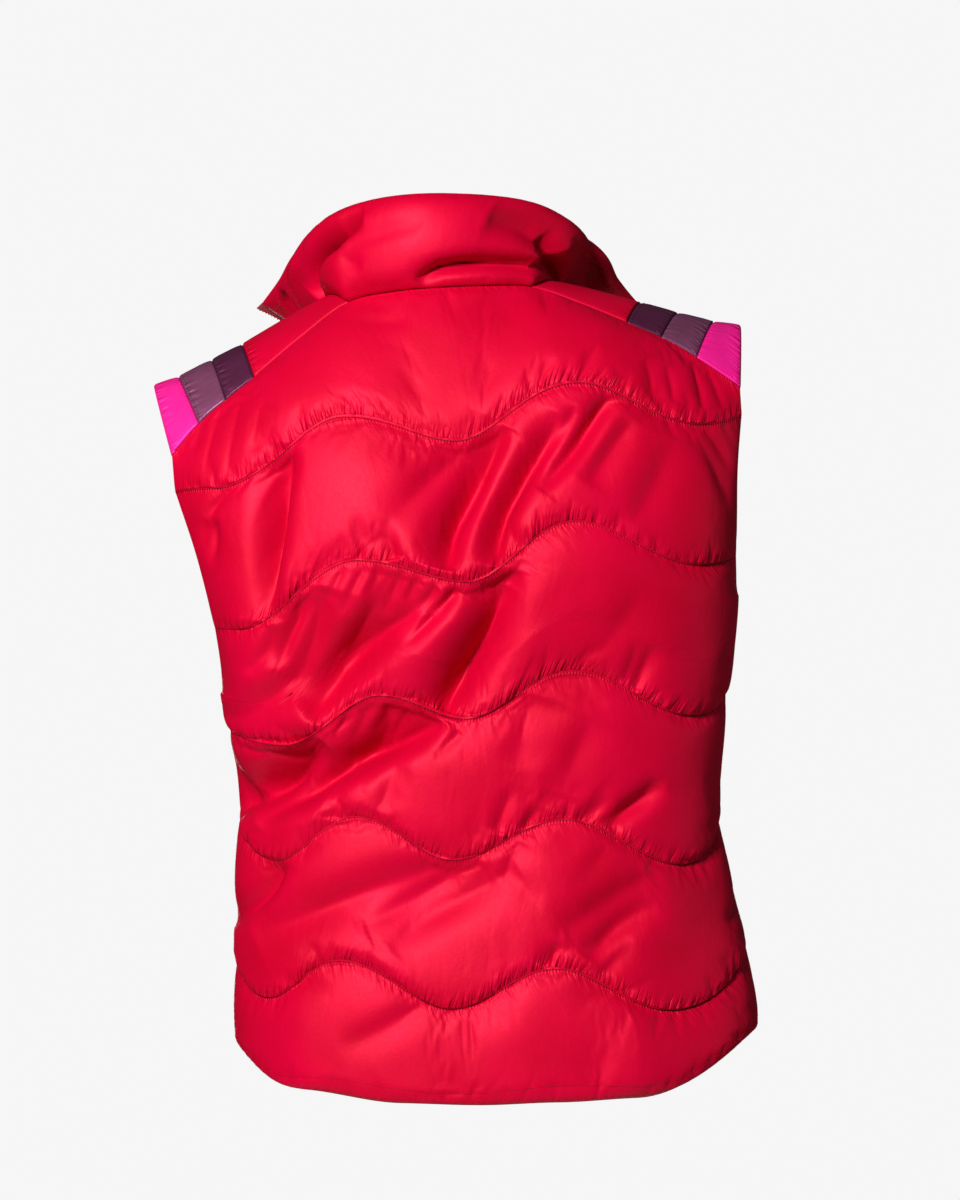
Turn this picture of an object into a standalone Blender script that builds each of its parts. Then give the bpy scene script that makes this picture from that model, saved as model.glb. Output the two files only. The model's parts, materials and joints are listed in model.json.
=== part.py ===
"""Quilted padded vest, worn open: back, two fronts, collar, striped shoulder strips, front zip.

Metres, +Z up, the back faces +Y and the wearer's left is +X. The origin lies between the
shoulders, level with their highest points. Every cloth piece is a closed padded wall laid
over one body form; the form is worked out from the tables below.
"""
import math

import bmesh
import bpy
from mathutils import Matrix, Vector

# Padded wall
SEAM_WALL = 0.0032      # cloth and wadding pressed together along a seam
BODY_LOFT = 0.0110      # extra thickness in the middle of a channel
COLLAR_LOFT = 0.0100
STRIP_LOFT = 0.0050
LOFT_REACH = 0.0380     # distance from a seam at which the loft is full
OUTER_SHARE = 0.70      # share of the loft on the outer side
SEAM_GAP = 0.0002       # between one piece's edge and the seam line
STRIP_GAP = 0.0005      # along a shoulder strip's front and back seams
COLLAR_LIFT = (0.0024, 0.0011)      # lower edge above the neckline, at the sides and behind
NECK_TRIM = (0.0018, 0.0009)        # the pieces below it end short of it by this

# Front zip
TAPE_GAP = 0.0006       # between a front's edge and the tape
TAPE_WIDTH = 0.0110
TAPE_THICK = 0.0014
BEAD_WIDTH = 0.0030
BEAD_THICK = 0.0034
TAPE_END = 0.0180       # height of the tape's end above the hem
SLIDER_UP = 0.0150      # slider's middle above the tape's end
BAIL_REACH = 0.0036     # hinge axis in front of the slider's plate
TAB_LENGTH = 0.0280
TAB_WIDTH = 0.0080
TAB_THICK = 0.0014

# Quilting seams from the hem (0) to the top one (5): the body's plan at each.
# middle x, half width, middle y, depth behind, depth in front, squareness
PLANS = (
    (-0.0345, 0.2100, 0.004, 0.142, 0.140, 2.5),
    (-0.0295, 0.2060, 0.004, 0.138, 0.136, 2.5),
    (-0.0190, 0.1940, 0.004, 0.130, 0.132, 2.5),
    (-0.0185, 0.2010, 0.004, 0.133, 0.132, 2.5),
    (-0.0150, 0.2160, 0.006, 0.142, 0.134, 2.5),
    (-0.0029, 0.2410, 0.006, 0.120, 0.116, 2.4),
)

# Each seam's crests and troughs: angle round the body in degrees and height. The left side
# is 0, the centre back 90, the right side 180; the fronts run on below 0 and past 180.
WAVES = (
    ((-60, -0.618), (-30, -0.612), (0, -0.602), (10, -0.605), (36, -0.630), (61, -0.637),
     (84, -0.638), (109, -0.636), (130, -0.634), (169, -0.592), (180, -0.589), (212, -0.600),
     (243, -0.608)),
    ((-60, -0.560), (-40, -0.527), (-20, -0.561), (0, -0.528), (26, -0.560), (46, -0.527),
     (77, -0.563), (110, -0.532), (142, -0.567), (181, -0.523), (201, -0.557), (222, -0.522),
     (243, -0.555)),
    ((-60, -0.451), (-40, -0.416), (-20, -0.452), (0, -0.418), (29, -0.450), (51, -0.414),
     (81, -0.447), (118, -0.416), (152, -0.454), (181, -0.414), (201, -0.449), (222, -0.412),
     (243, -0.446)),
    ((-60, -0.360), (-40, -0.328), (-20, -0.364), (0, -0.346), (33, -0.358), (59, -0.318),
     (86, -0.336), (120, -0.299), (153, -0.335), (182, -0.310), (201, -0.340), (222, -0.305),
     (243, -0.337)),
    ((-60, -0.262), (-40, -0.234), (-20, -0.268), (0, -0.262), (26, -0.266), (56, -0.212),
     (88, -0.229), (120, -0.182), (151, -0.215), (178, -0.204), (201, -0.230), (222, -0.195),
     (243, -0.223)),
    ((-56, -0.160), (-38, -0.136), (-20, -0.166), (0, -0.158), (23, -0.154), (52, -0.099),
     (89, -0.118), (130, -0.072), (156, -0.103), (180, -0.082), (200, -0.120), (220, -0.096),
     (236, -0.126)),
)

# Armholes: seam count up from the hem, then the angle back and forward from the side.
LEFT_ARMHOLE = (
    (3.36, 0.0, 0.0), (3.39, 4.0, 4.4), (3.46, 7.8, 8.6), (3.64, 12.0, 12.6),
    (4.00, 14.8, 15.2), (4.50, 15.0, 16.6), (5.00, 12.4, 14.6),
)
RIGHT_ARMHOLE = (
    (3.72, 0.0, 0.0), (3.75, 4.2, 4.6), (3.82, 8.0, 8.8), (4.00, 11.6, 13.0),
    (4.25, 13.6, 16.0), (4.60, 14.2, 16.8), (5.00, 12.4, 14.6),
)

# Where the open fronts end: seam count, angle in front of the side, left and right.
FRONT_EDGES = (
    (0, 60.0, 64.0), (1, 60.0, 64.0), (2, 60.0, 63.0), (3, 60.0, 62.0), (4, 58.0, 58.0),
    (5, 53.0, 51.0),
)

# Top edge of the back: share of its run from the left, then x, y, z.
BACK_TOP = (
    (0.000, 0.2287, 0.0570, -0.1266), (0.065, 0.2061, 0.0590, -0.1007),
    (0.125, 0.1834, 0.0600, -0.0813), (0.180, 0.1616, 0.0600, -0.0640),
    (0.270, 0.1252, 0.0590, -0.0330), (0.360, 0.0850, 0.0590, -0.0030),
    (0.430, 0.0500, 0.0710, 0.0045), (0.500, 0.0120, 0.0760, 0.0075),
    (0.570, -0.0260, 0.0720, 0.0092), (0.640, -0.0592, 0.0600, 0.0093),
    (0.740, -0.1011, 0.0590, -0.0045), (0.840, -0.1481, 0.0600, -0.0240),
    (0.895, -0.1747, 0.0600, -0.0360), (0.945, -0.1998, 0.0590, -0.0510),
    (1.000, -0.2305, 0.0570, -0.0716),
)

# Shoulder strips: share of the way from the tip to the neck, then the ridge's x, y, z and
# the front seam's x, y, z. The strip's back seam is the back's own top edge.
LEFT_RIDGE = (
    (0.00, 0.2478, 0.0040, -0.0690, 0.2440, -0.0480, -0.0930),
    (0.18, 0.2270, 0.0030, -0.0610, 0.2230, -0.0510, -0.0830),
    (0.34, 0.2000, 0.0020, -0.0470, 0.1980, -0.0530, -0.0700),
    (0.50, 0.1750, 0.0010, -0.0340, 0.1730, -0.0545, -0.0580),
    (0.75, 0.1370, -0.0010, -0.0120, 0.1400, -0.0560, -0.0410),
    (1.00, 0.1050, -0.0030, 0.0050, 0.1130, -0.0570, -0.0260),
)
RIGHT_RIDGE = (
    (0.00, -0.2350, 0.0040, -0.0195, -0.2360, -0.0480, -0.0420),
    (0.18, -0.2120, 0.0030, -0.0155, -0.2130, -0.0510, -0.0370),
    (0.34, -0.1830, 0.0020, -0.0085, -0.1850, -0.0530, -0.0300),
    (0.50, -0.1530, 0.0010, -0.0005, -0.1580, -0.0545, -0.0240),
    (0.75, -0.1150, -0.0010, 0.0090, -0.1250, -0.0560, -0.0170),
    (1.00, -0.0800, -0.0030, 0.0160, -0.0960, -0.0570, -0.0100),
)
STRIP_SHARE = 0.36      # of the back's top edge, taken by each strip
FRONT_NECK = 0.38       # of a front's top edge, taken by its neckline
LEFT_NECK_POINT = (0.0920, -0.1120, -0.0680)
RIGHT_NECK_POINT = (-0.1000, -0.1120, -0.0730)

# Collar, a station per row round the neck: share, then its bulge and its upper edge.
COLLAR = (
    (0.00, 0.1220, -0.1170, -0.0190, 0.1660, -0.1040, 0.0110),
    (0.15, 0.1280, -0.0670, 0.0110, 0.1500, -0.0690, 0.0270),
    (0.29, 0.1180, -0.0120, 0.0370, 0.1270, -0.0220, 0.0500),
    (0.40, 0.0900, 0.0540, 0.0400, 0.0880, 0.0400, 0.0745),
    (0.51, 0.0170, 0.0830, 0.0450, 0.0200, 0.0740, 0.0815),
    (0.61, -0.0640, 0.0570, 0.0440, -0.0640, 0.0400, 0.0735),
    (0.72, -0.0910, -0.0110, 0.0440, -0.1120, -0.0220, 0.0440),
    (0.85, -0.1070, -0.0680, 0.0230, -0.1380, -0.0660, 0.0250),
    (1.00, -0.1180, -0.1190, -0.0240, -0.1600, -0.1020, 0.0060),
)
FRONT_SHARE = 0.15      # of the collar's run, along each front's own neckline
BACK_SHARES = (0.40, 0.61)

# Largest creases of the back: start x, z, end x, z, half width, depth.
CREASES = (
    (0.0140, -0.3320, -0.0560, -0.2240, 0.0150, 0.0120),
    (0.1760, -0.4020, 0.0950, -0.3430, 0.0140, 0.0110),
    (0.1380, -0.4040, 0.0300, -0.3440, 0.0130, 0.0100),
    (0.1150, -0.3200, 0.0450, -0.2420, 0.0140, 0.0080),
    (0.1500, -0.2650, 0.1380, -0.1400, 0.0100, 0.0070),
    (0.0100, -0.2240, -0.0300, -0.1150, 0.0120, 0.0080),
    (-0.0280, -0.2080, -0.0700, -0.1150, 0.0120, 0.0080),
)

RED = (0.745, 0.012, 0.035, 1.0)
PLUM = (0.045, 0.018, 0.045, 1.0)
MAUVE = (0.130, 0.045, 0.125, 1.0)
MAGENTA = (0.800, 0.010, 0.260, 1.0)
TAPE_RED = (0.420, 0.008, 0.022, 1.0)
STEEL = (0.420, 0.420, 0.440, 1.0)


def between(rows, at):
    """Row values at a place along the first column, by a smooth curve through the rows."""
    last = len(rows) - 1
    if at <= rows[0][0]:
        return rows[0][1:]
    if at >= rows[last][0]:
        return rows[last][1:]
    k = next(i for i in range(last) if at <= rows[i + 1][0])
    a, b = rows[max(k - 1, 0)], rows[k]
    c, d = rows[k + 1], rows[min(k + 2, last)]
    span = c[0] - b[0]
    f = (at - b[0]) / span
    values = []
    for i in range(1, len(b)):
        m0 = (c[i] - a[i]) / (c[0] - a[0]) * span
        m1 = (d[i] - b[i]) / (d[0] - b[0]) * span
        values.append((2 * f**3 - 3 * f**2 + 1) * b[i] + (f**3 - 2 * f**2 + f) * m0
                      + (3 * f**2 - 2 * f**3) * c[i] + (f**3 - f**2) * m1)
    return tuple(values)


def through(before, start, end, after, f):
    """Point at share f from start to end of a smooth curve through four points."""
    points = (before, start, end, after)
    knots = [0.0]
    for p, q in zip(points, points[1:]):
        knots.append(knots[-1] + max((q - p).length, 1e-5))
    at = knots[1] + f * (knots[2] - knots[1])
    while len(points) > 1:
        step = len(knots) - len(points) + 1
        points = [p.lerp(q, (at - knots[i]) / (knots[i + step] - knots[i]))
                  for i, (p, q) in enumerate(zip(points, points[1:]))]
    return points[0]


def wave(angle, seam):
    """Height of a quilting seam at an angle round the body."""
    turns = WAVES[seam]
    k = next((i for i in range(len(turns) - 2) if angle <= turns[i + 1][0]), len(turns) - 2)
    (a, low), (b, high) = turns[k], turns[k + 1]
    f = min(max((angle - a) / (b - a), 0.0), 1.0)
    return low + (high - low) * (1 - math.cos(math.pi * f)) / 2


def body(angle, up):
    """Point of the body form at an angle and a seam count up from the hem."""
    x_mid, half, y_mid, back, front, power = between(
        [(i,) + plan for i, plan in enumerate(PLANS)], up)
    c, s = math.cos(math.radians(angle)), math.sin(math.radians(angle))
    depth = back if s > 0 else front
    reach = (abs(c / half)**power + abs(s / depth)**power)**(-1 / power)
    z, = between([(i, wave(angle, i)) for i in range(len(WAVES))], up)
    return Vector((x_mid + reach * c, y_mid + reach * s, z))


def back_point(s, up):
    """The back: s runs from the left edge to the right one."""
    low = min(up, 5.0)
    left = between(LEFT_ARMHOLE, low)[0]
    right = 180 - between(RIGHT_ARMHOLE, low)[0]
    if up <= 5:
        return body(left + (right - left) * s, up)
    top = Vector(between(BACK_TOP, s))
    ridge = LEFT_RIDGE if s < 0.5 else RIGHT_RIDGE
    inward = min(s, 1 - s)
    over = Vector(between(ridge, inward / STRIP_SHARE)[:3])
    f = min(max((inward - 0.24) / 0.20, 0.0), 1.0)
    over = over.lerp(top + Vector((0, -0.022, 0.034)), f * f * (3 - 2 * f))
    return through(back_point(s, 4.0), back_point(s, 5.0), top, over, up - 5)


def front_top(s, ridge, neck_point):
    """Top edge of a front: s runs from the neck point over the strip's end to its tip."""
    if s >= FRONT_NECK:
        return Vector(between(ridge, (1 - s) / (1 - FRONT_NECK))[3:])
    return Vector(neck_point).lerp(Vector(ridge[-1][4:]), s / FRONT_NECK)


def front_left_point(s, up):
    """The left front: s runs from the zip to the side."""
    low = min(up, 5.0)
    edge = -between(FRONT_EDGES, low)[0]
    side = -between(LEFT_ARMHOLE, low)[1]
    if up <= 5:
        return body(edge + (side - edge) * s, up)
    top = front_top(s, LEFT_RIDGE, LEFT_NECK_POINT)
    beyond = top + Vector((-0.006, 0.045, 0.025))
    return through(front_left_point(s, 4.0), front_left_point(s, 5.0), top, beyond, up - 5)


def front_right_point(s, up):
    """The right front: s runs from the side to the zip."""
    low = min(up, 5.0)
    edge = 180 + between(FRONT_EDGES, low)[1]
    side = 180 + between(RIGHT_ARMHOLE, low)[1]
    if up <= 5:
        return body(side + (edge - side) * s, up)
    top = front_top(1 - s, RIGHT_RIDGE, RIGHT_NECK_POINT)
    beyond = top + Vector((0.006, 0.045, 0.025))
    return through(front_right_point(s, 4.0), front_right_point(s, 5.0), top, beyond, up - 5)


def strip_point(s, up, left):
    """A shoulder strip: s from its front seam to its back seam, up from tip to neck."""
    row = between(LEFT_RIDGE if left else RIGHT_RIDGE, up)
    ridge, front = Vector(row[:3]), Vector(row[3:])
    back = Vector(between(BACK_TOP, STRIP_SHARE * up if left else 1 - STRIP_SHARE * up))
    f = s if left else 1 - s
    a, b, c = (1 - f) * (1 - 2 * f), 4 * f * (1 - f), f * (2 * f - 1)
    return front * a + ridge * b + back * c


def neckline(s):
    """The seam that the collar stands on, from the left neck point round to the right."""
    first, last = BACK_SHARES
    if s < FRONT_SHARE:
        return front_top(FRONT_NECK * s / FRONT_SHARE, LEFT_RIDGE, LEFT_NECK_POINT)
    if s < first:
        return strip_point((s - FRONT_SHARE) / (first - FRONT_SHARE), 1.0, True)
    if s < last:
        run = 1 - 2 * STRIP_SHARE
        return Vector(between(BACK_TOP, STRIP_SHARE + run * (s - first) / (last - first)))
    if s < 1 - FRONT_SHARE:
        return strip_point((s - last) / (1 - FRONT_SHARE - last), 1.0, False)
    return front_top(FRONT_NECK * (1 - s) / FRONT_SHARE, RIGHT_RIDGE, RIGHT_NECK_POINT)


def collar_point(s, up):
    """The collar: s from the left front corner round the back to the right one."""
    middle = sum(BACK_SHARES) / 2
    f = min(max((abs(s - middle) - 0.06) / 0.08, 0.0), 1.0)
    lift = COLLAR_LIFT[1] + (COLLAR_LIFT[0] - COLLAR_LIFT[1]) * f
    up = up + (1 - up) * lift / 0.08
    row = between(COLLAR, s)
    low, mid, top = neckline(s), Vector(row[:3]), Vector(row[3:])
    a, b, c = (1 - up) * (1 - 2 * up), 4 * up * (1 - up), up * (2 * up - 1)
    return low * a + mid * b + top * c


def swell(distance):
    """Share of the full loft at a distance from the nearest seam or edge."""
    f = min(max(distance / LOFT_REACH, 0.0), 1.0)
    return math.sqrt(max(1 - (1 - f)**2, 0.0))


def crease(point):
    """Depth of the creases at a point of the back."""
    total = 0.0
    for x0, z0, x1, z1, width, depth in CREASES:
        dx, dz = x1 - x0, z1 - z0
        length = math.hypot(dx, dz)
        along = ((point.x - x0) * dx + (point.z - z0) * dz) / length**2
        across = ((point.x - x0) * dz - (point.z - z0) * dx) / length
        if 0 < along < 1:
            total += depth * math.sin(math.pi * along)**0.7 * math.exp(-(across / width)**2)
    return total


def material(name, colour, roughness, metallic=0.0):
    """One plain material of its own for each piece."""
    made = bpy.data.materials.new(name)
    made.use_nodes = True
    shader = made.node_tree.nodes["Principled BSDF"]
    shader.inputs["Base Color"].default_value = colour
    shader.inputs["Roughness"].default_value = roughness
    shader.inputs["Metallic"].default_value = metallic
    return made


def place(name, bm, colour, roughness=0.45, metallic=0.0, at=None):
    """Turn a finished bmesh into a named object with its material."""
    bmesh.ops.recalc_face_normals(bm, faces=bm.faces)
    mesh = bpy.data.meshes.new(name)
    bm.to_mesh(mesh)
    bm.free()
    mesh.materials.append(material(name + "_material", colour, roughness, metallic))
    made = bpy.data.objects.new(name, mesh)
    if at is not None:
        made.location = at
    garment.objects.link(made)
    return made


def facing(point, s, up):
    """Outward unit normal of a surface. Near a front's neck point, where its two edges run
    almost in line, the normal is that of the cloth just below."""
    fronts = (front_left_point, front_right_point)
    top = 6.0 if point is back_point or point in fronts else 1.0
    if point in fronts:
        up = min(up, 5.7)
    step = 0.002
    s0, s1 = max(s - step, 0.0), min(s + step, 1.0)
    t0, t1 = max(up - step, 0.0), min(up + step, top)
    across = point(s1, up) - point(s0, up)
    return across.cross(point(s, t1) - point(s, t0)).normalized()


def wall(name, point, columns, rows, thickness, colour, dent=None, normal=facing):
    """Closed wall over a surface: columns and rows are its shares, thickness(s, up) gives
    the outer and inner offsets."""
    bm = bmesh.new()
    bmesh.ops.create_grid(bm, x_segments=len(columns) - 1, y_segments=len(rows) - 1, size=0.5)
    shares = {}
    for v in bm.verts:
        i = round((v.co.x + 0.5) * (len(columns) - 1))
        j = round((v.co.y + 0.5) * (len(rows) - 1))
        shares[v.index] = (columns[i], rows[j])
    inner_face = set(bm.verts)
    bmesh.ops.extrude_face_region(bm, geom=bm.faces[:], use_keep_orig=True)
    places = {}
    for v in inner_face:
        s, up = shares[v.index]
        away, centre = normal(point, s, up), point(s, up)
        outer, inner = thickness(s, up)
        sink = dent(s, up, centre) if dent else 0.0
        key = (round(v.co.x, 5), round(v.co.y, 5))
        places[key] = (centre - away * (inner + 0.8 * sink), centre + away * (outer - sink))
    for v in bm.verts:
        v.co = places[(round(v.co.x, 5), round(v.co.y, 5))][0 if v in inner_face else 1]
    return place(name, bm, colour)


def loft_at(point, s, up, seams, loft, neck=None):
    """Outer and inner offsets at a place between the seams listed. The wall swells slowly
    away from the seam that it shares with the neckline."""
    below = max((k for k in seams if k <= up + 1e-6), default=seams[0])
    above = min((k for k in seams if k >= up - 1e-6), default=seams[-1])
    here = point(s, up)
    extra = loft * swell(min((here - point(side, height)).length for side, height in (
        (s, below), (s, above), (0.0, up), (1.0, up))))
    if neck is not None:
        f = min((here - point(s, neck)).length / LOFT_REACH, 1.0)
        extra = min(extra, loft * f * f * (3 - 2 * f))
    return SEAM_WALL / 2 + OUTER_SHARE * extra, SEAM_WALL / 2 + (1 - OUTER_SHARE) * extra


def shares(count, first=0.0, last=1.0):
    """Even shares from first to last."""
    return [first + (last - first) * i / count for i in range(count + 1)]


def inset(rows, first, last):
    """Pull the first and last shares in, so that pieces end short of their seam line."""
    return [rows[0] + first] + list(rows[1:-1]) + [rows[-1] - last]


def block(size, centre):
    """A box as a bmesh of its own."""
    bm = bmesh.new()
    bmesh.ops.create_cube(bm, size=1.0)
    bmesh.ops.scale(bm, vec=size, verts=bm.verts)
    bmesh.ops.translate(bm, vec=centre, verts=bm.verts)
    return bm


def tool(name, bm):
    """A hidden shape that a boolean adds or takes away."""
    bmesh.ops.recalc_face_normals(bm, faces=bm.faces)
    mesh = bpy.data.meshes.new(name)
    bm.to_mesh(mesh)
    bm.free()
    made = bpy.data.objects.new(name, mesh)
    tools.objects.link(made)
    made.hide_render = True
    made.hide_viewport = True
    return made


def combine(target, other, operation):
    """Boolean a hidden shape with a piece."""
    step = target.modifiers.new(other.name, "BOOLEAN")
    step.operation = operation
    step.solver = "EXACT"
    step.object = other


for start in list(bpy.data.objects):
    bpy.data.objects.remove(start, do_unlink=True)
garment = bpy.data.collections.new("quilted_vest")
bpy.context.scene.collection.children.link(garment)
tools = bpy.data.collections.new("shaping_tools")
bpy.context.scene.collection.children.link(tools)
tools.hide_render = True
tools.hide_viewport = True

# Back and fronts: columns meet the strips' own rows, rows crowd towards the quilting
bands = (("magenta", MAGENTA, (0.0, 0.09, 0.18)), ("mauve", MAUVE, (0.18, 0.26, 0.34)),
         ("plum", PLUM, (0.34, 0.42, 0.50)), ("red", RED, (0.50, 0.625, 0.75, 0.875, 1.0)))
strip_rows = [0.0] + [row for band in bands for row in band[2][1:]]
over_strip = [STRIP_SHARE * row for row in strip_rows]
back_columns = over_strip[:-1] + shares(8, STRIP_SHARE, 1 - STRIP_SHARE)
back_columns += [1 - column for column in over_strip[-2::-1]]
front_columns = shares(4, 0.0, FRONT_NECK)
front_columns += [1 - (1 - FRONT_NECK) * row for row in strip_rows[-2::-1]]
seams = tuple(range(7))
panel_rows = [0.0]
for seam in range(6):
    steps = (0.14, 0.30, 0.39, 0.46, 0.60, 0.75, 0.82, 0.92) if seam == 3 else (0.14, 0.5, 0.86)
    panel_rows += [seam + step for step in steps] + [seam + 1.0]
back_rows = inset(panel_rows, 0, NECK_TRIM[1] / 0.12)
front_rows = inset(panel_rows, 0, NECK_TRIM[0] / 0.12)


def back_dent(s, up, centre):
    fade = swell(min((centre - back_point(0, up)).length, (centre - back_point(1, up)).length))
    return crease(centre) * fade


wall("back_panel", back_point, inset(back_columns, SEAM_GAP / 0.6, SEAM_GAP / 0.6), back_rows,
     lambda s, up: loft_at(back_point, s, up, seams, BODY_LOFT, 6), RED, back_dent)
wall("front_left", front_left_point,
     inset(front_columns, 0, SEAM_GAP / 0.25), front_rows,
     lambda s, up: loft_at(front_left_point, s, up, seams, BODY_LOFT, 6), RED)
wall("front_right", front_right_point,
     inset([1 - column for column in reversed(front_columns)], SEAM_GAP / 0.25, 0), front_rows,
     lambda s, up: loft_at(front_right_point, s, up, seams, BODY_LOFT, 6), RED)

# Collar: its columns meet the ends of the pieces that it stands on
collar_columns = shares(4, 0.0, FRONT_SHARE)[:-1] + shares(6, FRONT_SHARE, BACK_SHARES[0])
collar_columns += shares(8, *BACK_SHARES)[1:-1] + shares(6, BACK_SHARES[1], 1 - FRONT_SHARE)
collar_columns += shares(4, 1 - FRONT_SHARE, 1.0)[1:]
collar_rows = [0.0, 0.14, 0.32, 0.55, 0.78, 0.93, 1.0]
wall("collar", collar_point, collar_columns, collar_rows,
     lambda s, up: loft_at(collar_point, s, up, (0, 1), COLLAR_LOFT, 0), RED)

# Shoulder strips, each of four bands
for side, left in (("left", True), ("right", False)):
    for band, colour, rows in bands:
        def strip(s, up, left=left):
            return strip_point(s, up, left)

        end = NECK_TRIM[0] / 0.18 if band == "red" else SEAM_GAP / 0.18
        first = 0 if band == "magenta" else SEAM_GAP / 0.18
        wall("shoulder_%s_%s" % (side, band), strip,
             inset(shares(6), STRIP_GAP / 0.12, STRIP_GAP / 0.12), inset(rows, first, end),
             lambda s, up, strip=strip, ends=(rows[0], rows[-1]): loft_at(
                 strip, s, up, ends, STRIP_LOFT, 1), colour)


# Front zip: a tape with its thicker bead along each front and up the collar
def zip_frame(point, outward, up):
    """Place, outward, upward and forward directions at a front's zip edge."""
    edge = 1.0 if outward > 0 else 0.0
    if up <= 6:
        here, away = point(edge, up), facing(point, edge, up)
        rise = point(edge, min(up + 0.02, 6)) - point(edge, max(up - 0.02, 0))
    else:
        here, away = collar_point(edge, up - 6), facing(collar_point, edge, up - 6)
        rise = collar_point(edge, min(up - 5.98, 1)) - collar_point(edge, max(up - 6.02, 0))
    rise.normalize()
    side = rise.cross(away).normalized() * outward
    return here, side, rise, away


def tape(name, point, outward, start):
    """A zip tape from above the hem to the collar's top corner."""
    def path(across, up):
        here, side, rise, away = zip_frame(point, outward, up)
        return here + side * (TAPE_GAP + (TAPE_WIDTH - TAPE_GAP) * across)

    def thick(across, up):
        half = (BEAD_THICK if across > bead - 0.01 else TAPE_THICK) / 2
        return half, half

    bead = 1 - BEAD_WIDTH / TAPE_WIDTH
    across = [0.0, bead - 0.04, bead, 1.0]
    rows = [start] + [row for row in panel_rows if row > start + 0.05]
    rows += [6 + up for up in collar_rows[1:]]
    wall(name, path, across if outward > 0 else across[::-1], rows, thick, TAPE_RED,
         normal=lambda path, across, up: zip_frame(point, outward, up)[3])


def local(point, outward, up):
    """Frame with its origin in the middle of the bead: X level, Y forward, Z upward."""
    here, side, rise, away = zip_frame(point, outward, up)
    middle = here + side * (TAPE_WIDTH - BEAD_WIDTH / 2)
    turn = Matrix((side * -outward, away, rise)).transposed().to_4x4()
    return Matrix.Translation(middle) @ turn


left_start = TAPE_END / (front_left_point(0, 1) - front_left_point(0, 0)).length
right_start = TAPE_END / (front_right_point(1, 1) - front_right_point(1, 0)).length
tape("zip_tape_left", front_left_point, -1, left_start)
tape("zip_tape_right", front_right_point, 1, right_start)

# Slider: two plates either side of the left bead, a post between them and a crown
at = local(front_left_point, -1, left_start + SLIDER_UP / 0.09)
face = BEAD_THICK / 2 + 0.0004
outer = face + 0.0012
slider = block((0.0114, 0.0012, 0.0125), (0.0025, face + 0.0006, 0))
slider.transform(at)
slider = place("zip_slider", slider, STEEL, 0.3, 1.0)
crown_top = outer + 0.0034
for label, size, centre in (
    ("slider_back_plate", (0.0114, 0.0012, 0.0125), (0.0025, -face - 0.0006, 0)),
    ("slider_post", (0.0022, 2 * face + 0.0012, 0.0058), (0.0032, 0, 0.0033)),
    ("slider_crown_high", (0.0020, 0.0051, 0.0012), (0.0025, outer + 0.0021, 0.0032)),
    ("slider_crown_low", (0.0020, 0.0051, 0.0012), (0.0025, outer + 0.0021, -0.0032)),
    ("slider_crown_bar", (0.0022, 0.0012, 0.0078), (0.0025, crown_top + 0.0006, 0)),
):
    bm = block(size, centre)
    bm.transform(at)
    combine(slider, tool(label, bm), "UNION")

# Pull tab: hangs plumb from its cross bar, which turns under the crown
hinge = at @ Vector((0.0025, outer + BAIL_REACH / 2 - 0.0001, 0))
axis = (at.to_3x3() @ Vector((1, 0, 0))).normalized()
down = Vector((0, 0, -1))
down = (down - axis * down.dot(axis)).normalized()
hang = Matrix((axis, axis.cross(down), -down)).transposed().to_4x4()
tab = block((TAB_WIDTH, TAB_THICK, TAB_LENGTH), (0, 0, -TAB_LENGTH / 2 + 0.0007))
tab.transform(hang)
tab = place("zip_pull_tab", tab, STEEL, 0.3, 1.0, hinge)
window = block((0.0034, 0.0040, 0.0056), (0, 0, -0.0007 - 0.0028))
window.transform(Matrix.Translation(hinge) @ hang)
combine(tab, tool("tab_window", window), "DIFFERENCE")

# Box below the left bead, pin below the right one
box = block((0.0064, 0.0046, 0.0080), (0.0006, 0, -0.0040 - SEAM_GAP))
box.transform(local(front_left_point, -1, left_start))
place("zip_box", box, STEEL, 0.3, 1.0)
pin = block((0.0020, 0.0022, 0.0100), (0, 0, -0.0050 - SEAM_GAP))
pin.transform(local(front_right_point, 1, right_start))
place("zip_pin", pin, STEEL, 0.3, 1.0)
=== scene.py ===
"""The looks of a quilted padded vest, worn open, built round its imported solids.

Metres, +Z up, the back faces +Y and the wearer's left is +X. The file follows the vest as it
is sewn: back, fronts, shoulder strips, collar, stitching, zip, slider, and then the studio
round it.
"""
import json
import math
from functools import partial

import bmesh
import bpy
import numpy as np
from mathutils import Matrix, Vector


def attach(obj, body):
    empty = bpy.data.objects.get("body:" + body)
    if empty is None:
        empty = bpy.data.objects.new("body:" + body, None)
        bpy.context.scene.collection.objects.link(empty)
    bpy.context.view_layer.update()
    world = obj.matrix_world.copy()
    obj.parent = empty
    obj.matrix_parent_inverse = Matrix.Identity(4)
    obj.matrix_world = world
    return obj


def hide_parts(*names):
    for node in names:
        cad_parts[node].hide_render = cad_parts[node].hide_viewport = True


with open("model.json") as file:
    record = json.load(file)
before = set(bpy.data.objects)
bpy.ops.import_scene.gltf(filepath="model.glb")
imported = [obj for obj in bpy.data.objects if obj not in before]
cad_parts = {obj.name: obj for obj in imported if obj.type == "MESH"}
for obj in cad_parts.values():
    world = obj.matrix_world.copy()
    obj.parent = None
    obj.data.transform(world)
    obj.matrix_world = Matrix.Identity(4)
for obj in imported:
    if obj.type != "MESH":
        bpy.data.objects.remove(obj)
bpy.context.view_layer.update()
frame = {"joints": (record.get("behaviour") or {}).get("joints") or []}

# ---------------------------------------------------------------------------------------
# Back: one padded panel of satin polyester, quilted in five wavy rows through the wadding.
# The wadding sinks, so each channel hangs full over the seam below it and thins upward. It
# lies on the worn form, which leans a little to its left, with the left shoulder lower.
WALL = 0.0032           # outer cloth, wadding and inner cloth pressed together at a seam
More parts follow.
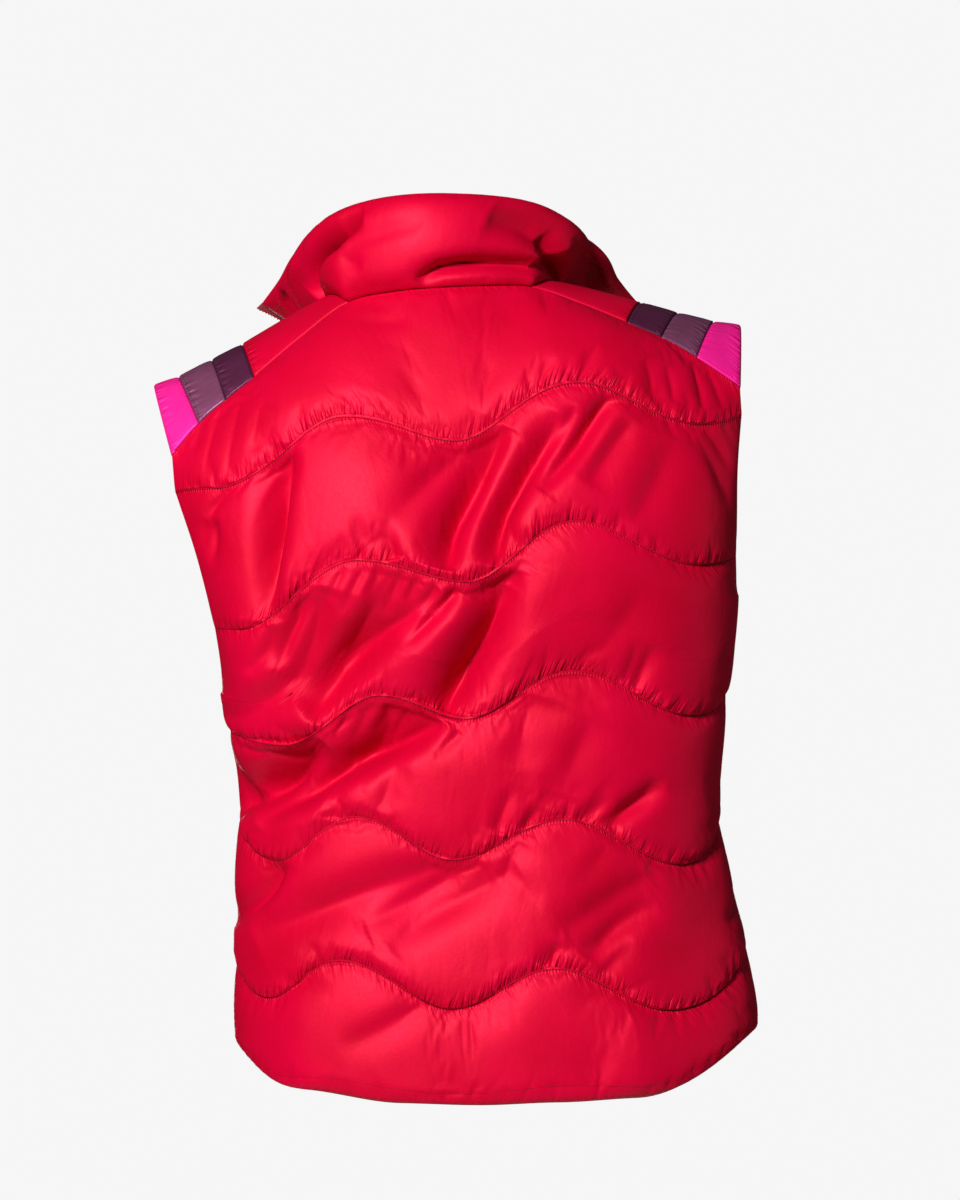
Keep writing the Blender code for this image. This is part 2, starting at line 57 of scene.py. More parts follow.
OUTER_LOFT = 0.0052     # how far a channel stands out beyond that
INNER_LOFT = 0.0030
HANG = 0.014            # height above a seam at which a channel is full
HEM_HANG = 0.007        # the same in the lowest channel
THIN = 0.048            # depth below a seam over which it thins out
EDGE_REACH = 0.065      # distance over which the loft fades towards a side edge
OPEN_REACH = 0.014      # the same at an edge that nothing is sewn to
EDGE_ROUND = 0.0022     # radius of a turned edge
EDGE_GAP = 0.00005      # between a piece's edge and the seam that it shares
NECK_GAP = 0.0002       # the same below the collar
ROW_PITCH = 0.0027      # spacing of the mesh's rows
COLUMN_PITCH = 0.0019   # spacing of its columns, closer because creases run down the cloth
HEM_FOLD = 0.13         # hem's topstitching, as a share of the first channel
BACK_WIDTH = 0.600

# The worn form: plans of the body at the quilting seams, which count from the hem (0) up
PLANS = (   # seam, middle x, half width, middle y, depth behind, depth in front, squareness
    (0, -0.0345, 0.2100, 0.004, 0.142, 0.140, 2.5),
    (1, -0.0295, 0.2060, 0.004, 0.138, 0.136, 2.5),
    (2, -0.0190, 0.1940, 0.004, 0.130, 0.132, 2.5),
    (3, -0.0185, 0.2010, 0.004, 0.133, 0.132, 2.5),
    (4, -0.0150, 0.2160, 0.006, 0.142, 0.134, 2.5),
    (5, -0.0029, 0.2410, 0.006, 0.120, 0.116, 2.4),
)
# Each seam's crests and troughs: angle round the body (left side 0, centre back 90), height
WAVES = (
    ((-60, -0.618), (-30, -0.612), (0, -0.602), (10, -0.605), (36, -0.630), (61, -0.637),
     (84, -0.638), (109, -0.636), (130, -0.634), (169, -0.592), (180, -0.589), (212, -0.600),
     (243, -0.608)),
    ((-60, -0.560), (-40, -0.527), (-20, -0.561), (0, -0.528), (26, -0.560), (46, -0.527),
     (77, -0.563), (110, -0.532), (142, -0.567), (181, -0.523), (201, -0.557), (222, -0.522),
     (243, -0.555)),
    ((-60, -0.451), (-40, -0.416), (-20, -0.452), (0, -0.418), (29, -0.450), (51, -0.414),
     (81, -0.447), (118, -0.416), (152, -0.454), (181, -0.414), (201, -0.449), (222, -0.412),
     (243, -0.446)),
    ((-60, -0.360), (-40, -0.328), (-20, -0.364), (0, -0.346), (33, -0.358), (59, -0.318),
     (86, -0.336), (120, -0.299), (153, -0.335), (182, -0.310), (201, -0.340), (222, -0.305),
     (243, -0.337)),
    ((-60, -0.262), (-40, -0.234), (-20, -0.268), (0, -0.262), (26, -0.266), (56, -0.212),
     (88, -0.229), (120, -0.182), (151, -0.215), (178, -0.204), (201, -0.230), (222, -0.195),
     (243, -0.223)),
    ((-56, -0.160), (-38, -0.136), (-20, -0.166), (0, -0.158), (23, -0.154), (52, -0.099),
     (89, -0.118), (130, -0.072), (156, -0.103), (180, -0.082), (200, -0.120), (220, -0.096),
     (236, -0.126)),
)
LEFT_ARMHOLE = (    # seams up from the hem, angle behind the side, angle in front of it
    (3.36, 0.0, 0.0), (3.39, 4.0, 4.4), (3.46, 7.8, 8.6), (3.64, 12.0, 12.6),
    (4.00, 14.8, 15.2), (4.50, 15.0, 16.6), (5.00, 12.4, 14.6),
)
RIGHT_ARMHOLE = (
    (3.72, 0.0, 0.0), (3.75, 4.2, 4.6), (3.82, 8.0, 8.8), (4.00, 11.6, 13.0),
    (4.25, 13.6, 16.0), (4.60, 14.2, 16.8), (5.00, 12.4, 14.6),
)
BACK_TOP = (    # share of the back's top edge from the left, then x, y, z
    (0.000, 0.2287, 0.0570, -0.1266), (0.065, 0.2061, 0.0590, -0.1007),
    (0.125, 0.1834, 0.0600, -0.0813), (0.180, 0.1616, 0.0600, -0.0640),
    (0.270, 0.1252, 0.0590, -0.0330), (0.360, 0.0850, 0.0590, -0.0030),
    (0.430, 0.0500, 0.0710, 0.0045), (0.500, 0.0120, 0.0760, 0.0075),
    (0.570, -0.0260, 0.0720, 0.0092), (0.640, -0.0592, 0.0600, 0.0093),
    (0.740, -0.1011, 0.0590, -0.0045), (0.840, -0.1481, 0.0600, -0.0240),
    (0.895, -0.1747, 0.0600, -0.0360), (0.945, -0.1998, 0.0590, -0.0510),
    (1.000, -0.2305, 0.0570, -0.0716),
)
LEFT_RIDGE = (  # share from a shoulder's tip to the neck, its ridge and its front seam
    (0.00, 0.2478, 0.0040, -0.0690, 0.2440, -0.0480, -0.0930),
    (0.18, 0.2270, 0.0030, -0.0610, 0.2230, -0.0510, -0.0830),
    (0.34, 0.2000, 0.0020, -0.0470, 0.1980, -0.0530, -0.0700),
    (0.50, 0.1750, 0.0010, -0.0340, 0.1730, -0.0545, -0.0580),
    (0.75, 0.1370, -0.0010, -0.0120, 0.1400, -0.0560, -0.0410),
    (1.00, 0.1050, -0.0030, 0.0050, 0.1130, -0.0570, -0.0260),
)
RIGHT_RIDGE = (
    (0.00, -0.2350, 0.0040, -0.0195, -0.2360, -0.0480, -0.0420),
    (0.18, -0.2120, 0.0030, -0.0155, -0.2130, -0.0510, -0.0370),
    (0.34, -0.1830, 0.0020, -0.0085, -0.1850, -0.0530, -0.0300),
    (0.50, -0.1530, 0.0010, -0.0005, -0.1580, -0.0545, -0.0240),
    (0.75, -0.1150, -0.0010, 0.0090, -0.1250, -0.0560, -0.0170),
    (1.00, -0.0800, -0.0030, 0.0160, -0.0960, -0.0570, -0.0100),
)
STRIP_SHARE = 0.36      # of the back's top edge, taken by each shoulder strip
seams = [0, 1, 2, 3, 4, 5, 6]


def curve(rows, at):
    """Values at places along a table's first column, on a smooth curve through its rows."""
    rows = np.asarray(rows, float)
    knots, values = rows[:, 0], rows[:, 1:]
    at = np.clip(np.asarray(at, float), knots[0], knots[-1])
    k = np.clip(np.searchsorted(knots, at, side="right") - 1, 0, len(knots) - 2)
    a, d = np.maximum(k - 1, 0), np.minimum(k + 2, len(knots) - 1)
    span = knots[k + 1] - knots[k]
    f = ((at - knots[k]) / span)[..., None]
    leave = (values[k + 1] - values[a]) * (span / (knots[k + 1] - knots[a]))[..., None]
    arrive = (values[d] - values[k]) * (span / (knots[d] - knots[k]))[..., None]
    return ((2 * f**3 - 3 * f**2 + 1) * values[k] + (f**3 - 2 * f**2 + f) * leave
            + (3 * f**2 - 2 * f**3) * values[k + 1] + (f**3 - f**2) * arrive)


def through(before, start, end, after, f):
    """Grid between two rows of points, on smooth curves that also pass the rows beyond."""
    rows = [before, start, end, after]
    steps = [np.linalg.norm(q - p, axis=-1) for p, q in zip(rows, rows[1:])]
    knots = np.cumsum([np.zeros(len(start))] + steps, axis=0)
    at = knots[1] + f[:, None] * (knots[2] - knots[1])
    points = [np.broadcast_to(row, at.shape + (3,)) for row in rows]
    while len(points) > 1:
        reach = len(knots) - len(points) + 1
        points = [p + (q - p) * ((at - knots[i]) / (knots[i + reach] - knots[i]))[..., None]
                  for i, (p, q) in enumerate(zip(points, points[1:]))]
    return points[0]


def wave(angle, seam):
    """Height of a quilting seam at angles round the body."""
    turns = np.array(WAVES[seam], float)
    k = np.clip(np.searchsorted(turns[:, 0], angle, side="right") - 1, 0, len(turns) - 2)
    f = np.clip((angle - turns[k, 0]) / (turns[k + 1, 0] - turns[k, 0]), 0, 1)
    return turns[k, 1] + (turns[k + 1, 1] - turns[k, 1]) * (1 - np.cos(math.pi * f)) / 2


def body(angle, up):
    """Points of the body form: a grid of angles, and a seam count for each of its rows."""
    x_mid, half, y_mid, back, front, power = (c[:, None] for c in curve(PLANS, up).T)
    c, s = np.cos(np.radians(angle)), np.sin(np.radians(angle))
    depth = np.where(s > 0, back, front)
    reach = ((np.abs(c) / half)**power + (np.abs(s) / depth)**power)**(-1 / power)
    share = curve(np.column_stack([range(6), np.eye(6)]), up)
    z = sum(share[:, k, None] * wave(angle, k) for k in range(6))
    return np.stack([x_mid + reach * c, y_mid + reach * s, z], axis=-1)


def unit(vectors):
    """Vectors brought to length one."""
    return vectors / np.linalg.norm(vectors, axis=-1, keepdims=True)


def run_along(points):
    """Distance from the start of a path, or of each column of a grid, at its points."""
    steps = np.linalg.norm(np.diff(points, axis=0), axis=-1)
    return np.concatenate([0 * steps[:1], np.cumsum(steps, axis=0)])


def smooth(f):
    """Soft step from 0 to 1."""
    f = np.clip(f, 0, 1)
    return f * f * (3 - 2 * f)


def back_grid(s, up):
    """The back's form: s runs from its left edge to its right one."""
    def low(up):
        left = curve(LEFT_ARMHOLE, up)[:, :1]
        right = 180 - curve(RIGHT_ARMHOLE, up)[:, :1]
        return body(left + (right - left) * s, up)

    top = curve(BACK_TOP, s)
    inward = np.minimum(s, 1 - s)
    over = np.where((s < 0.5)[:, None], curve(LEFT_RIDGE, inward / STRIP_SHARE)[:, :3],
                    curve(RIGHT_RIDGE, inward / STRIP_SHARE)[:, :3])
    # Above the edge the form goes on over the shoulders, and into the collar behind the neck
    f = smooth((inward - 0.24) / 0.20)[:, None]
    over = over + (top + (0, -0.022, 0.034) - over) * f
    fourth, fifth = low(np.array([4.0, 5.0]))
    upper = through(fourth, fifth, top, over, up[up > 5] - 5)
    return np.concatenate([low(up[up <= 5]), upper])


def rows_between(marks, grid, trim=(0.0, 0.0)):
    """Row places of a panel: each stretch between two seams gets rows to suit its length,
    closer together at both ends. The first and last rows end short by the lengths in trim."""
    rows, lengths = [marks[0]], []
    for a, b in zip(marks, marks[1:]):
        path = grid(np.array([0.5]), np.linspace(a, b, 9))[:, 0]
        lengths.append(np.linalg.norm(np.diff(path, axis=0), axis=1).sum())
        t = np.linspace(0, 1, max(4, round(lengths[-1] / ROW_PITCH)) + 1)
        crowded = t - 0.5 * np.sin(2 * math.pi * t) / (2 * math.pi)
        rows += list(a + (b - a) * crowded)[1:]
    rows[0] += trim[0] / lengths[0] * (marks[1] - marks[0])
    rows[-1] -= trim[1] / lengths[-1] * (marks[-1] - marks[-2])
    return np.array(rows)


def columns_over(length):
    """Column places across a panel of that width, with a few close ones at each edge to
    round it off."""
    close = np.array([0.0, 0.0005, 0.0014, 0.0026]) / length
    low, high = EDGE_GAP / length, 1 - EDGE_GAP / length
    inside = np.linspace(low + close[-1], high - close[-1], round(length / COLUMN_PITCH))
    return np.concatenate([low + close[:-1], inside, high - close[-2::-1]])


def measured(grid, s, up, seams, level=9.0):
    """A panel's form with what the cloth needs to know at each point: its place, outward
    direction, and distances along the cloth from the seam below, the one above and both
    sides. Above level the direction is the one found there."""
    place = grid(s, up)
    out = unit(np.cross(np.gradient(place, axis=1), np.gradient(place, axis=0)))
    last = min(np.searchsorted(up, level), len(up)) - 1
    out[last + 1:] = out[last]
    height = run_along(place)
    width = run_along(place.swapaxes(0, 1)).T
    marks = [int(np.argmin(np.abs(up - seam))) for seam in seams]
    row = np.arange(len(up))
    below = np.array([max(m for m in marks if m <= r) for r in row])
    above = np.array([min(m for m in marks if m >= r) for r in row])
    return {"s": s, "up": up, "place": place, "out": out, "height": height, "width": width,
            "below": height - height[below], "above": height[above] - height,
            "left": width, "right": width[:, -1:] - width, "marks": marks,
            "seam_below": width[below], "seam_above": width[above]}


def swell(distance, reach):
    """Share of the full loft at a distance from a seam: steep at first, then level."""
    return np.sqrt(1 - (1 - np.clip(distance / reach, 0, 1))**2)


def loft(panel, hang=HANG, thin=THIN, left=EDGE_REACH, right=EDGE_REACH):
    """Share of the full loft, drooping in each channel. At a side edge it is round over a
    short way, and where the reach is long the panel is also thinner along that side."""
    share = swell(panel["below"], hang) * swell(panel["above"], thin)**1.5
    for side, reach in (("left", left), ("right", right)):
        if reach > OPEN_REACH:
            share = share * (0.3 + 0.7 * smooth(panel[side] / reach))
        share = share * swell(panel[side], min(reach, OPEN_REACH))
    return share


def puckers(panel, seed, reach=(0.007, 0.033), depth=(0.0005, 0.0026), lean=0.35, below=0.6):
    """Small gathers that run off every seam, deeper and longer above it than below it, and
    closest together round the crests of a wave. Reach is the shortest and longest, depth the
    shallowest and deepest, lean how far they slant, and below the share of that under a seam."""
    chance = np.random.default_rng(seed)
    sunk = np.zeros(panel["width"].shape)
    for mark in panel["marks"]:
        soft = 0.4 if mark == 0 else 1.0        # the hem's lower edge gathers little
        run = panel["width"][mark]
        lie = panel["place"][mark, :, 2]
        around = np.abs(run[:, None] - run[None, :]) < 0.07
        crest = np.array([(z > lie[near]).mean() for z, near in zip(lie, around)])
        for rising, weight in ((True, 1.0), (False, below)):
            rows = panel["below" if rising else "above"]
            track = panel["seam_below" if rising else "seam_above"]
            row = np.arange(len(rows))
            beside = row >= mark if rising else row <= mark
            near = np.abs(panel["height"] - panel["height"][mark]) < 0.05
            here = beside[:, None] & near & (np.abs(track - run) < 1e-9)
            at = 0.003
            while at < run[-1]:
                full = np.interp(at, run, crest) if rising else 0.5
                strong = chance.random()**1.6 * (0.25 + 0.85 * full)
                long = (reach[0] + (reach[1] - reach[0]) * strong) * weight
                deep = (depth[0] + (depth[1] - depth[0]) * strong) * weight * soft
                slope = lean + chance.normal(0, 0.30)
                thick = 0.0014 + 0.0016 * strong
                columns = np.abs(run - at) < 0.030
                d = rows[:, columns]
                x = run[columns] - at - (slope if rising else -slope) * d
                # A gather widens away from its seam and has one steep side
                grow = thick * (1 + 1.3 * d / long) * np.where(x < 0, 0.7, 1.4)
                fade = (1 - np.exp(-d / 0.0012)) * (1 - smooth(d / long))
                dent = deep * np.exp(-np.abs(x / grow)**1.3) * fade
                sunk[:, columns] += np.where(here[:, columns], dent, 0)
                at += (0.0042 + 0.0085 * chance.random()) * (1.6 - 0.6 * full)
    return sunk


def swells(panel, seed, depth=0.0012):
    """Low unevenness of the wadding: a few crossing ripples."""
    shortest, longest = 0.060, 0.160
    chance = np.random.default_rng(seed)
    total = np.zeros(panel["width"].shape)
    for _ in range(10):
        turn = chance.uniform(0, math.pi)
        length = chance.uniform(shortest, longest)
        phase = chance.uniform(0, 2 * math.pi)
        at = panel["width"] * math.cos(turn) + panel["height"] * math.sin(turn)
        total += depth * np.cos(2 * math.pi * at / length + phase) * length / longest / 3
    return total


def folds(x, z, table):
    """Depth of folds given in a table. Each runs downward through points x, z on the cloth; then
    come the widths of its slopes, the one towards +X first, its greatest depth, and how far
    along it lies. A fold without depth below is a ridge."""
    total = np.zeros(x.shape)
    for run, left, right, deep, peak in table:
        path = np.array(run).reshape(-1, 2)
        share = np.linspace(0, 1, len(path))
        path = curve(np.column_stack([share, path]), np.linspace(0, 1, 4 * len(path) - 3))
        reach = 4.0 * max(left, right)
        low, high = path.min(0) - reach, path.max(0) + reach
        near = (x > low[0]) & (x < high[0]) & (z > low[1]) & (z < high[1])
        here = np.stack([x[near], z[near]], axis=-1)
        best = np.full(len(here), 9.0)
        side, along = np.zeros(len(here)), np.zeros(len(here))
        for k, (a, b) in enumerate(zip(path, path[1:])):
            step = b - a
            f = np.clip((here - a) @ step / (step @ step), 0, 1)
            off = here - a - f[:, None] * step
            far = np.hypot(off[:, 0], off[:, 1])
            closer = far < best
            best = np.where(closer, far, best)
            turn = off[:, 0] * step[1] - off[:, 1] * step[0]
            side = np.where(closer, turn, side)
            along = np.where(closer, (k + f) / (len(path) - 1), along)
        t = best / np.where(side < 0, 1.1 * left, 1.7 * right)
        taper = (along / peak)**(1.4 * peak) * ((1 - along) / (1 - peak))**(1.4 * (1 - peak))
        total[near] += 2.2 * deep * taper * np.exp(-t**1.6)
    return total


def skins(panel, depth, inner_depth, edge_round=EDGE_ROUND, blunt=(0.0, 0.0)):
    """Outer and inner skin of a panel, at the given depths from its form, with its edges
    turned in to meet. Blunt is the share of the wall that stays at an edge sewn flat to its
    neighbour: at the foot and sides, and at the top."""
    low = np.minimum.reduce([panel["left"], panel["right"], panel["height"]])
    high = panel["height"][-1:] - panel["height"]
    rounds = [share + (1 - share) * swell(np.maximum(edge, edge_round * 0.004), edge_round)
              for edge, share in zip((low, high), blunt)]
    turned = np.minimum(*rounds)
    outer = panel["place"] + panel["out"] * (WALL / 2 * turned + depth)[..., None]
    inner = panel["place"] - panel["out"] * (WALL / 2 * turned + inner_depth)[..., None]
    panel["outer"], panel["inner"] = outer, inner


SPARE_CLOTH = 0.014     # how much longer the outer cloth is than its place
SETTLING_FRAMES = 6


def settled(panel, pressure=12.0, farthest=0.0028, aside=0.050):
    """Let a panel's outer skin settle as cloth: it has a little spare length, is held along
    its seams and edges, and the wadding's pressure fills it, so it gathers and creases. No
    point moves farther than the length given, and it moves less within aside of a side."""
    rows, columns = panel["outer"].shape[:2]
    bm = bmesh.new()
    bmesh.ops.create_grid(bm, x_segments=columns - 1, y_segments=rows - 1, size=0.5)
    spot = np.array([v.co for v in bm.verts])
    row = np.rint((spot[:, 1] + 0.5) * (rows - 1)).astype(int)
    column = np.rint((spot[:, 0] + 0.5) * (columns - 1)).astype(int)
    mesh = bpy.data.meshes.new("settling_cloth")
    bm.to_mesh(mesh)
    bm.free()
    mesh.vertices.foreach_set("co", panel["outer"][row, column].ravel())
    mesh.update()
    cloth = bpy.data.objects.new("settling_cloth", mesh)
    bpy.context.scene.collection.objects.link(cloth)
    held = (np.isin(row, panel["marks"] + [0, rows - 1]) | np.isin(column, [0, columns - 1]))
    cloth.vertex_groups.new(name="sewn").add(np.nonzero(held)[0].tolist(), 1.0, "REPLACE")
    settle = cloth.modifiers.new("settle", "CLOTH")
    settings = settle.settings      # stiff thin cloth, blown up evenly, without gravity
    settings.vertex_group_mass = "sewn"
    settings.quality = 5
    settings.mass = 0.05
    settings.tension_stiffness = settings.compression_stiffness = 15
    settings.shear_stiffness = 5
    settings.bending_stiffness = 0.5
    settings.shrink_min = -SPARE_CLOTH
    settings.use_pressure = True
    settings.uniform_pressure_force = pressure
    settings.effector_weights.gravity = 0
    settle.collision_settings.use_collision = False
    settle.point_cache.frame_start, settle.point_cache.frame_end = 1, SETTLING_FRAMES
    for step in range(1, SETTLING_FRAMES + 1):
        bpy.context.scene.frame_set(step)
    posed = cloth.evaluated_get(bpy.context.evaluated_depsgraph_get())
    moved = np.empty(3 * len(row))
    posed.data.vertices.foreach_get("co", moved)
    full = np.array(panel["outer"])
    full[row, column] = moved.reshape(-1, 3)
    move = full - panel["outer"]
    far = np.linalg.norm(move, axis=-1, keepdims=True)
    upright = np.minimum(panel["height"], panel["height"][-1:] - panel["height"])
    free = smooth(np.minimum(panel["left"], panel["right"]) / aside) * smooth(upright / 0.012)
    move *= farthest * np.tanh(far / farthest) / np.maximum(far, 1e-9)
    panel["outer"] = panel["outer"] + move * free[..., None]
    bpy.context.scene.frame_set(1)
    bpy.data.objects.remove(cloth)
    bpy.data.meshes.remove(mesh)


UNDER_SEAM = 3.1        # added along the map called seam where the nearest seam is above


def padded_wall(name, panel, material, every=3):
    """One closed wall: the fine outer skin, an inner one with every third row and column,
    and a bridge round the edge. The map called cloth is in metres along the cloth, and the
    one called seam in metres along the nearest seam and away from it."""
    bm = bmesh.new()
    cloth = bm.loops.layers.uv.new("cloth")
    seam = bm.loops.layers.uv.new("seam")
    rows, columns = panel["outer"].shape[:2]
    keep_rows = sorted(set(range(0, rows, every)) | {rows - 1} | set(panel["marks"]))
    keep_columns = sorted(set(range(0, columns, every)) | {columns - 1})
    for skin, rows_kept, columns_kept in (
        (panel["outer"], range(rows), range(columns)),
        (panel["inner"], keep_rows, keep_columns),
    ):
        high, wide = len(rows_kept) - 1, len(columns_kept) - 1
        made = bmesh.ops.create_grid(bm, x_segments=wide, y_segments=high, size=0.5)["verts"]
        spot = {}
        for v in made:
            row = rows_kept[round((v.co.y + 0.5) * high)]
            spot[v] = (row, columns_kept[round((v.co.x + 0.5) * wide)])
        for face in {face for v in made for face in v.link_faces}:
            first = face.verts[0]
            hanging = panel["below"][spot[first]] < panel["above"][spot[first]]
            for loop in face.loops:
                at = spot[loop.vert]
                loop[cloth].uv = (panel["width"][at], panel["height"][at])
                if hanging:
                    loop[seam].uv = (panel["seam_below"][at], panel["below"][at])
                else:
                    along = panel["seam_above"][at] + UNDER_SEAM
                    loop[seam].uv = (along, panel["above"][at])
        for v in made:
            v.co = skin[spot[v]]
    bmesh.ops.bridge_loops(bm, edges=[e for e in bm.edges if e.is_boundary])
    return finished(name, bm, material)


def finished(name, bm, material):
    """Turn a bmesh into a smooth-shaded object in the scene."""
    bmesh.ops.recalc_face_normals(bm, faces=bm.faces)
    for face in bm.faces:
        face.smooth = True
    mesh = bpy.data.meshes.new(name)
    bm.to_mesh(mesh)
    bm.free()
    mesh.materials.append(material)
    piece = bpy.data.objects.new(name, mesh)
    bpy.context.scene.collection.objects.link(piece)
    return piece


def linear(hex_colour):
    """sRGB hex colour as linear RGBA."""
    values = [int(hex_colour[i:i + 2], 16) / 255 for i in (1, 3, 5)]
    return (*[v / 12.92 if v <= 0.04045 else ((v + 0.055) / 1.055)**2.4 for v in values], 1.0)


def feed(tree, node, settings):
    """Give a node its settings. Each goes on the node or on its socket of that name or
    number. A socket, or a node for its first output, is linked. Stops are a ramp's colours."""
    for key, value in settings.items():
        if key == "stops":
            for stop, (place, colour) in zip(node.color_ramp.elements, value):
                stop.position, stop.color = place, colour
        elif isinstance(value, (bpy.types.Node, bpy.types.NodeSocket)):
            tree.links.new(getattr(value, "outputs", [value])[0], node.inputs[key])
        elif isinstance(key, str) and hasattr(node, key):
            setattr(node, key, value)
        else:
            node.inputs[key].default_value = value
    return node


def add(tree, kind, settings=()):
    """Add a node of a kind, with its settings."""
    return feed(tree, tree.nodes.new("ShaderNode" + kind), dict(settings))


def principled(name):
    """A new material, with its node tree and its shader."""
    made = bpy.data.materials.new(name)
    made.use_nodes = True
    return made, made.node_tree, made.node_tree.nodes["Principled BSDF"]


BAND_PERIOD = 0.31416       # length of one wave of Blender's band texture at scale 1
THREADS_DRAWN = 0.0008      # spacing of the weave, which is really 0.25 mm, so that it shows
STITCH_PITCH = 0.0025       # from one stitch to the next
GATHER_DEPTH = 0.0024       # deepest of the tiny pleats that run off a seam


def taffeta(name, deep, light, satin=0.14, roughness=0.50, specular=0.075):
    """Satin-faced polyester taffeta: fine filament threads laid close, so that light spreads
    in a soft coloured sheen along each swell, which a little metallic gives. It gathers in
    sharp tiny pleats along every seam, each stitch tugs at it, and it crumples in between."""
    made, tree, shader = principled(name)
    spot = add(tree, "TexCoord").outputs["Object"]
    cloth = add(tree, "UVMap", {"uv_map": "cloth"})
    seam = add(tree, "UVMap", {"uv_map": "seam"})
    along, away, _ = add(tree, "SeparateXYZ", {"Vector": seam}).outputs

    # The dye is a little uneven over 70 mm; painted shade darkens it next to each seam
    cloud = add(tree, "TexNoise", {"Vector": spot, "Scale": 14.0, "Detail": 5.0,
                                   "Roughness": 0.65})
    dye = add(tree, "ValToRGB", {"Fac": cloud, "stops": ((0.30, linear(deep)),
                                                         (0.70, linear(light)))})
    # Mask of the painted seam shade: strongest within 0.4 mm of a seam, gone at 1.6 mm
    sewn = add(tree, "MapRange", {"interpolation_type": "SMOOTHSTEP", "Value": away,
               "From Min": 0.0004, "From Max": 0.0016, "To Min": 0.75, "To Max": 0.0})
    dye_with_seam_shade = add(tree, "Mix", {"data_type": "RGBA", "blend_type": "MIX", "Factor": sewn,
                  6: dye, 7: (*[v * 0.25 for v in linear(deep)[:3]], 1)})

    # Weave and a 3 mm crinkle, everywhere; patches 60 mm across where it is more creased
    warp, weft = [add(tree, "TexWave", {"Vector": cloth, "bands_direction": way,
                      "Scale": BAND_PERIOD / THREADS_DRAWN, "Distortion": 0.5,
                      "Detail": 1.0}).outputs["Fac"] for way in "XY"]
    crinkle = add(tree, "TexNoise", {"Vector": spot, "Scale": 330.0, "Detail": 3.0})
    blotches = add(tree, "TexNoise", {"Vector": spot, "Scale": 17.0, "Detail": 1.0})
    patches = add(tree, "MapRange", {"Value": blotches, "From Min": 0.35, "From Max": 0.65,
                                     "To Min": 0.3})

    # Pleats, 8 mm apart and up to 50 mm long: valleys where a stretched noise crosses its
    # middle. They slant off the seam, fade over 22 mm and are weaker under a seam.
    near = add(tree, "MapRange", {"interpolation_type": "SMOOTHSTEP", "Value": away,
               "From Min": 0.0, "From Max": 0.022, "To Min": 1.0, "To Max": 0.0})
    under = add(tree, "MapRange", {"Value": along, "From Min": UNDER_SEAM - 0.7,
                "From Max": UNDER_SEAM - 0.6, "To Min": 1.0, "To Max": 0.35})
    lean = add(tree, "Math", {"operation": "MULTIPLY", 0: away, 1: 0.35})
    slant = add(tree, "Math", {"operation": "SUBTRACT", 0: along, 1: lean})
    slanted = add(tree, "CombineXYZ", {"X": slant, "Y": away})
    drawn = add(tree, "Mapping", {"Vector": slanted, "Scale": (120.0, 20.0, 1.0)})
    pleats = add(tree, "TexNoise", {"noise_dimensions": "2D", "Vector": drawn, "Scale": 1.0,
                                    "Detail": 2.0, "Distortion": 0.3})
    for operation, by in (("SUBTRACT", 0.5), ("ABSOLUTE", 0.0), ("MULTIPLY", 4.0),
                          ("POWER", 0.8), ("MULTIPLY", near), ("MULTIPLY", near),
                          ("MULTIPLY", under), ("MULTIPLY", patches)):
        pleats = add(tree, "Math", {"operation": operation, 0: pleats, 1: by})

    # A tug at each stitch, and soft crumples, 17 by 42 mm
    tug = add(tree, "TexWave", {"Vector": seam, "bands_direction": "X", "Distortion": 0.3,
                                "Scale": BAND_PERIOD / STITCH_PITCH}).outputs["Fac"]
    close = add(tree, "MapRange", {"interpolation_type": "SMOOTHSTEP", "Value": away,
                "From Min": 0.0005, "From Max": 0.0040, "To Min": 0.0005, "To Max": 0.0})
    pulled = add(tree, "Mapping", {"Vector": cloth, "Scale": (60.0, 24.0, 1.0)})
    crumples = add(tree, "TexNoise", {"noise_dimensions": "2D", "Vector": pulled,
                   "Scale": 1.0, "Detail": 2.5, "Distortion": 0.4})
    crumpled = add(tree, "Math", {"operation": "MULTIPLY", 0: crumples, 1: patches})
    relief = 0.0
    for pattern, height in ((warp, 0.000018), (weft, 0.000018), (crinkle, 0.00011),
                            (pleats, GATHER_DEPTH), (tug, close), (crumpled, 0.0005)):
        relief = add(tree, "Math", {"operation": "MULTIPLY_ADD", 0: pattern, 1: height,
                                    2: relief})
    bump = add(tree, "Bump", {"Height": relief, "Strength": 1.0, "Distance": 1.0})
    wear = add(tree, "MapRange", {"Value": crinkle, "To Min": roughness - 0.05,
                                  "To Max": roughness + 0.05})
    # The base colour carries the painted seam shade
    feed(tree, shader, {"Base Color": dye_with_seam_shade.outputs[2], "Roughness": wear, "Normal": bump,
                        "Metallic": satin, "Specular IOR Level": specular})
    return made


red_taffeta = taffeta("red_polyester_taffeta", "#B40024", "#C2002E")

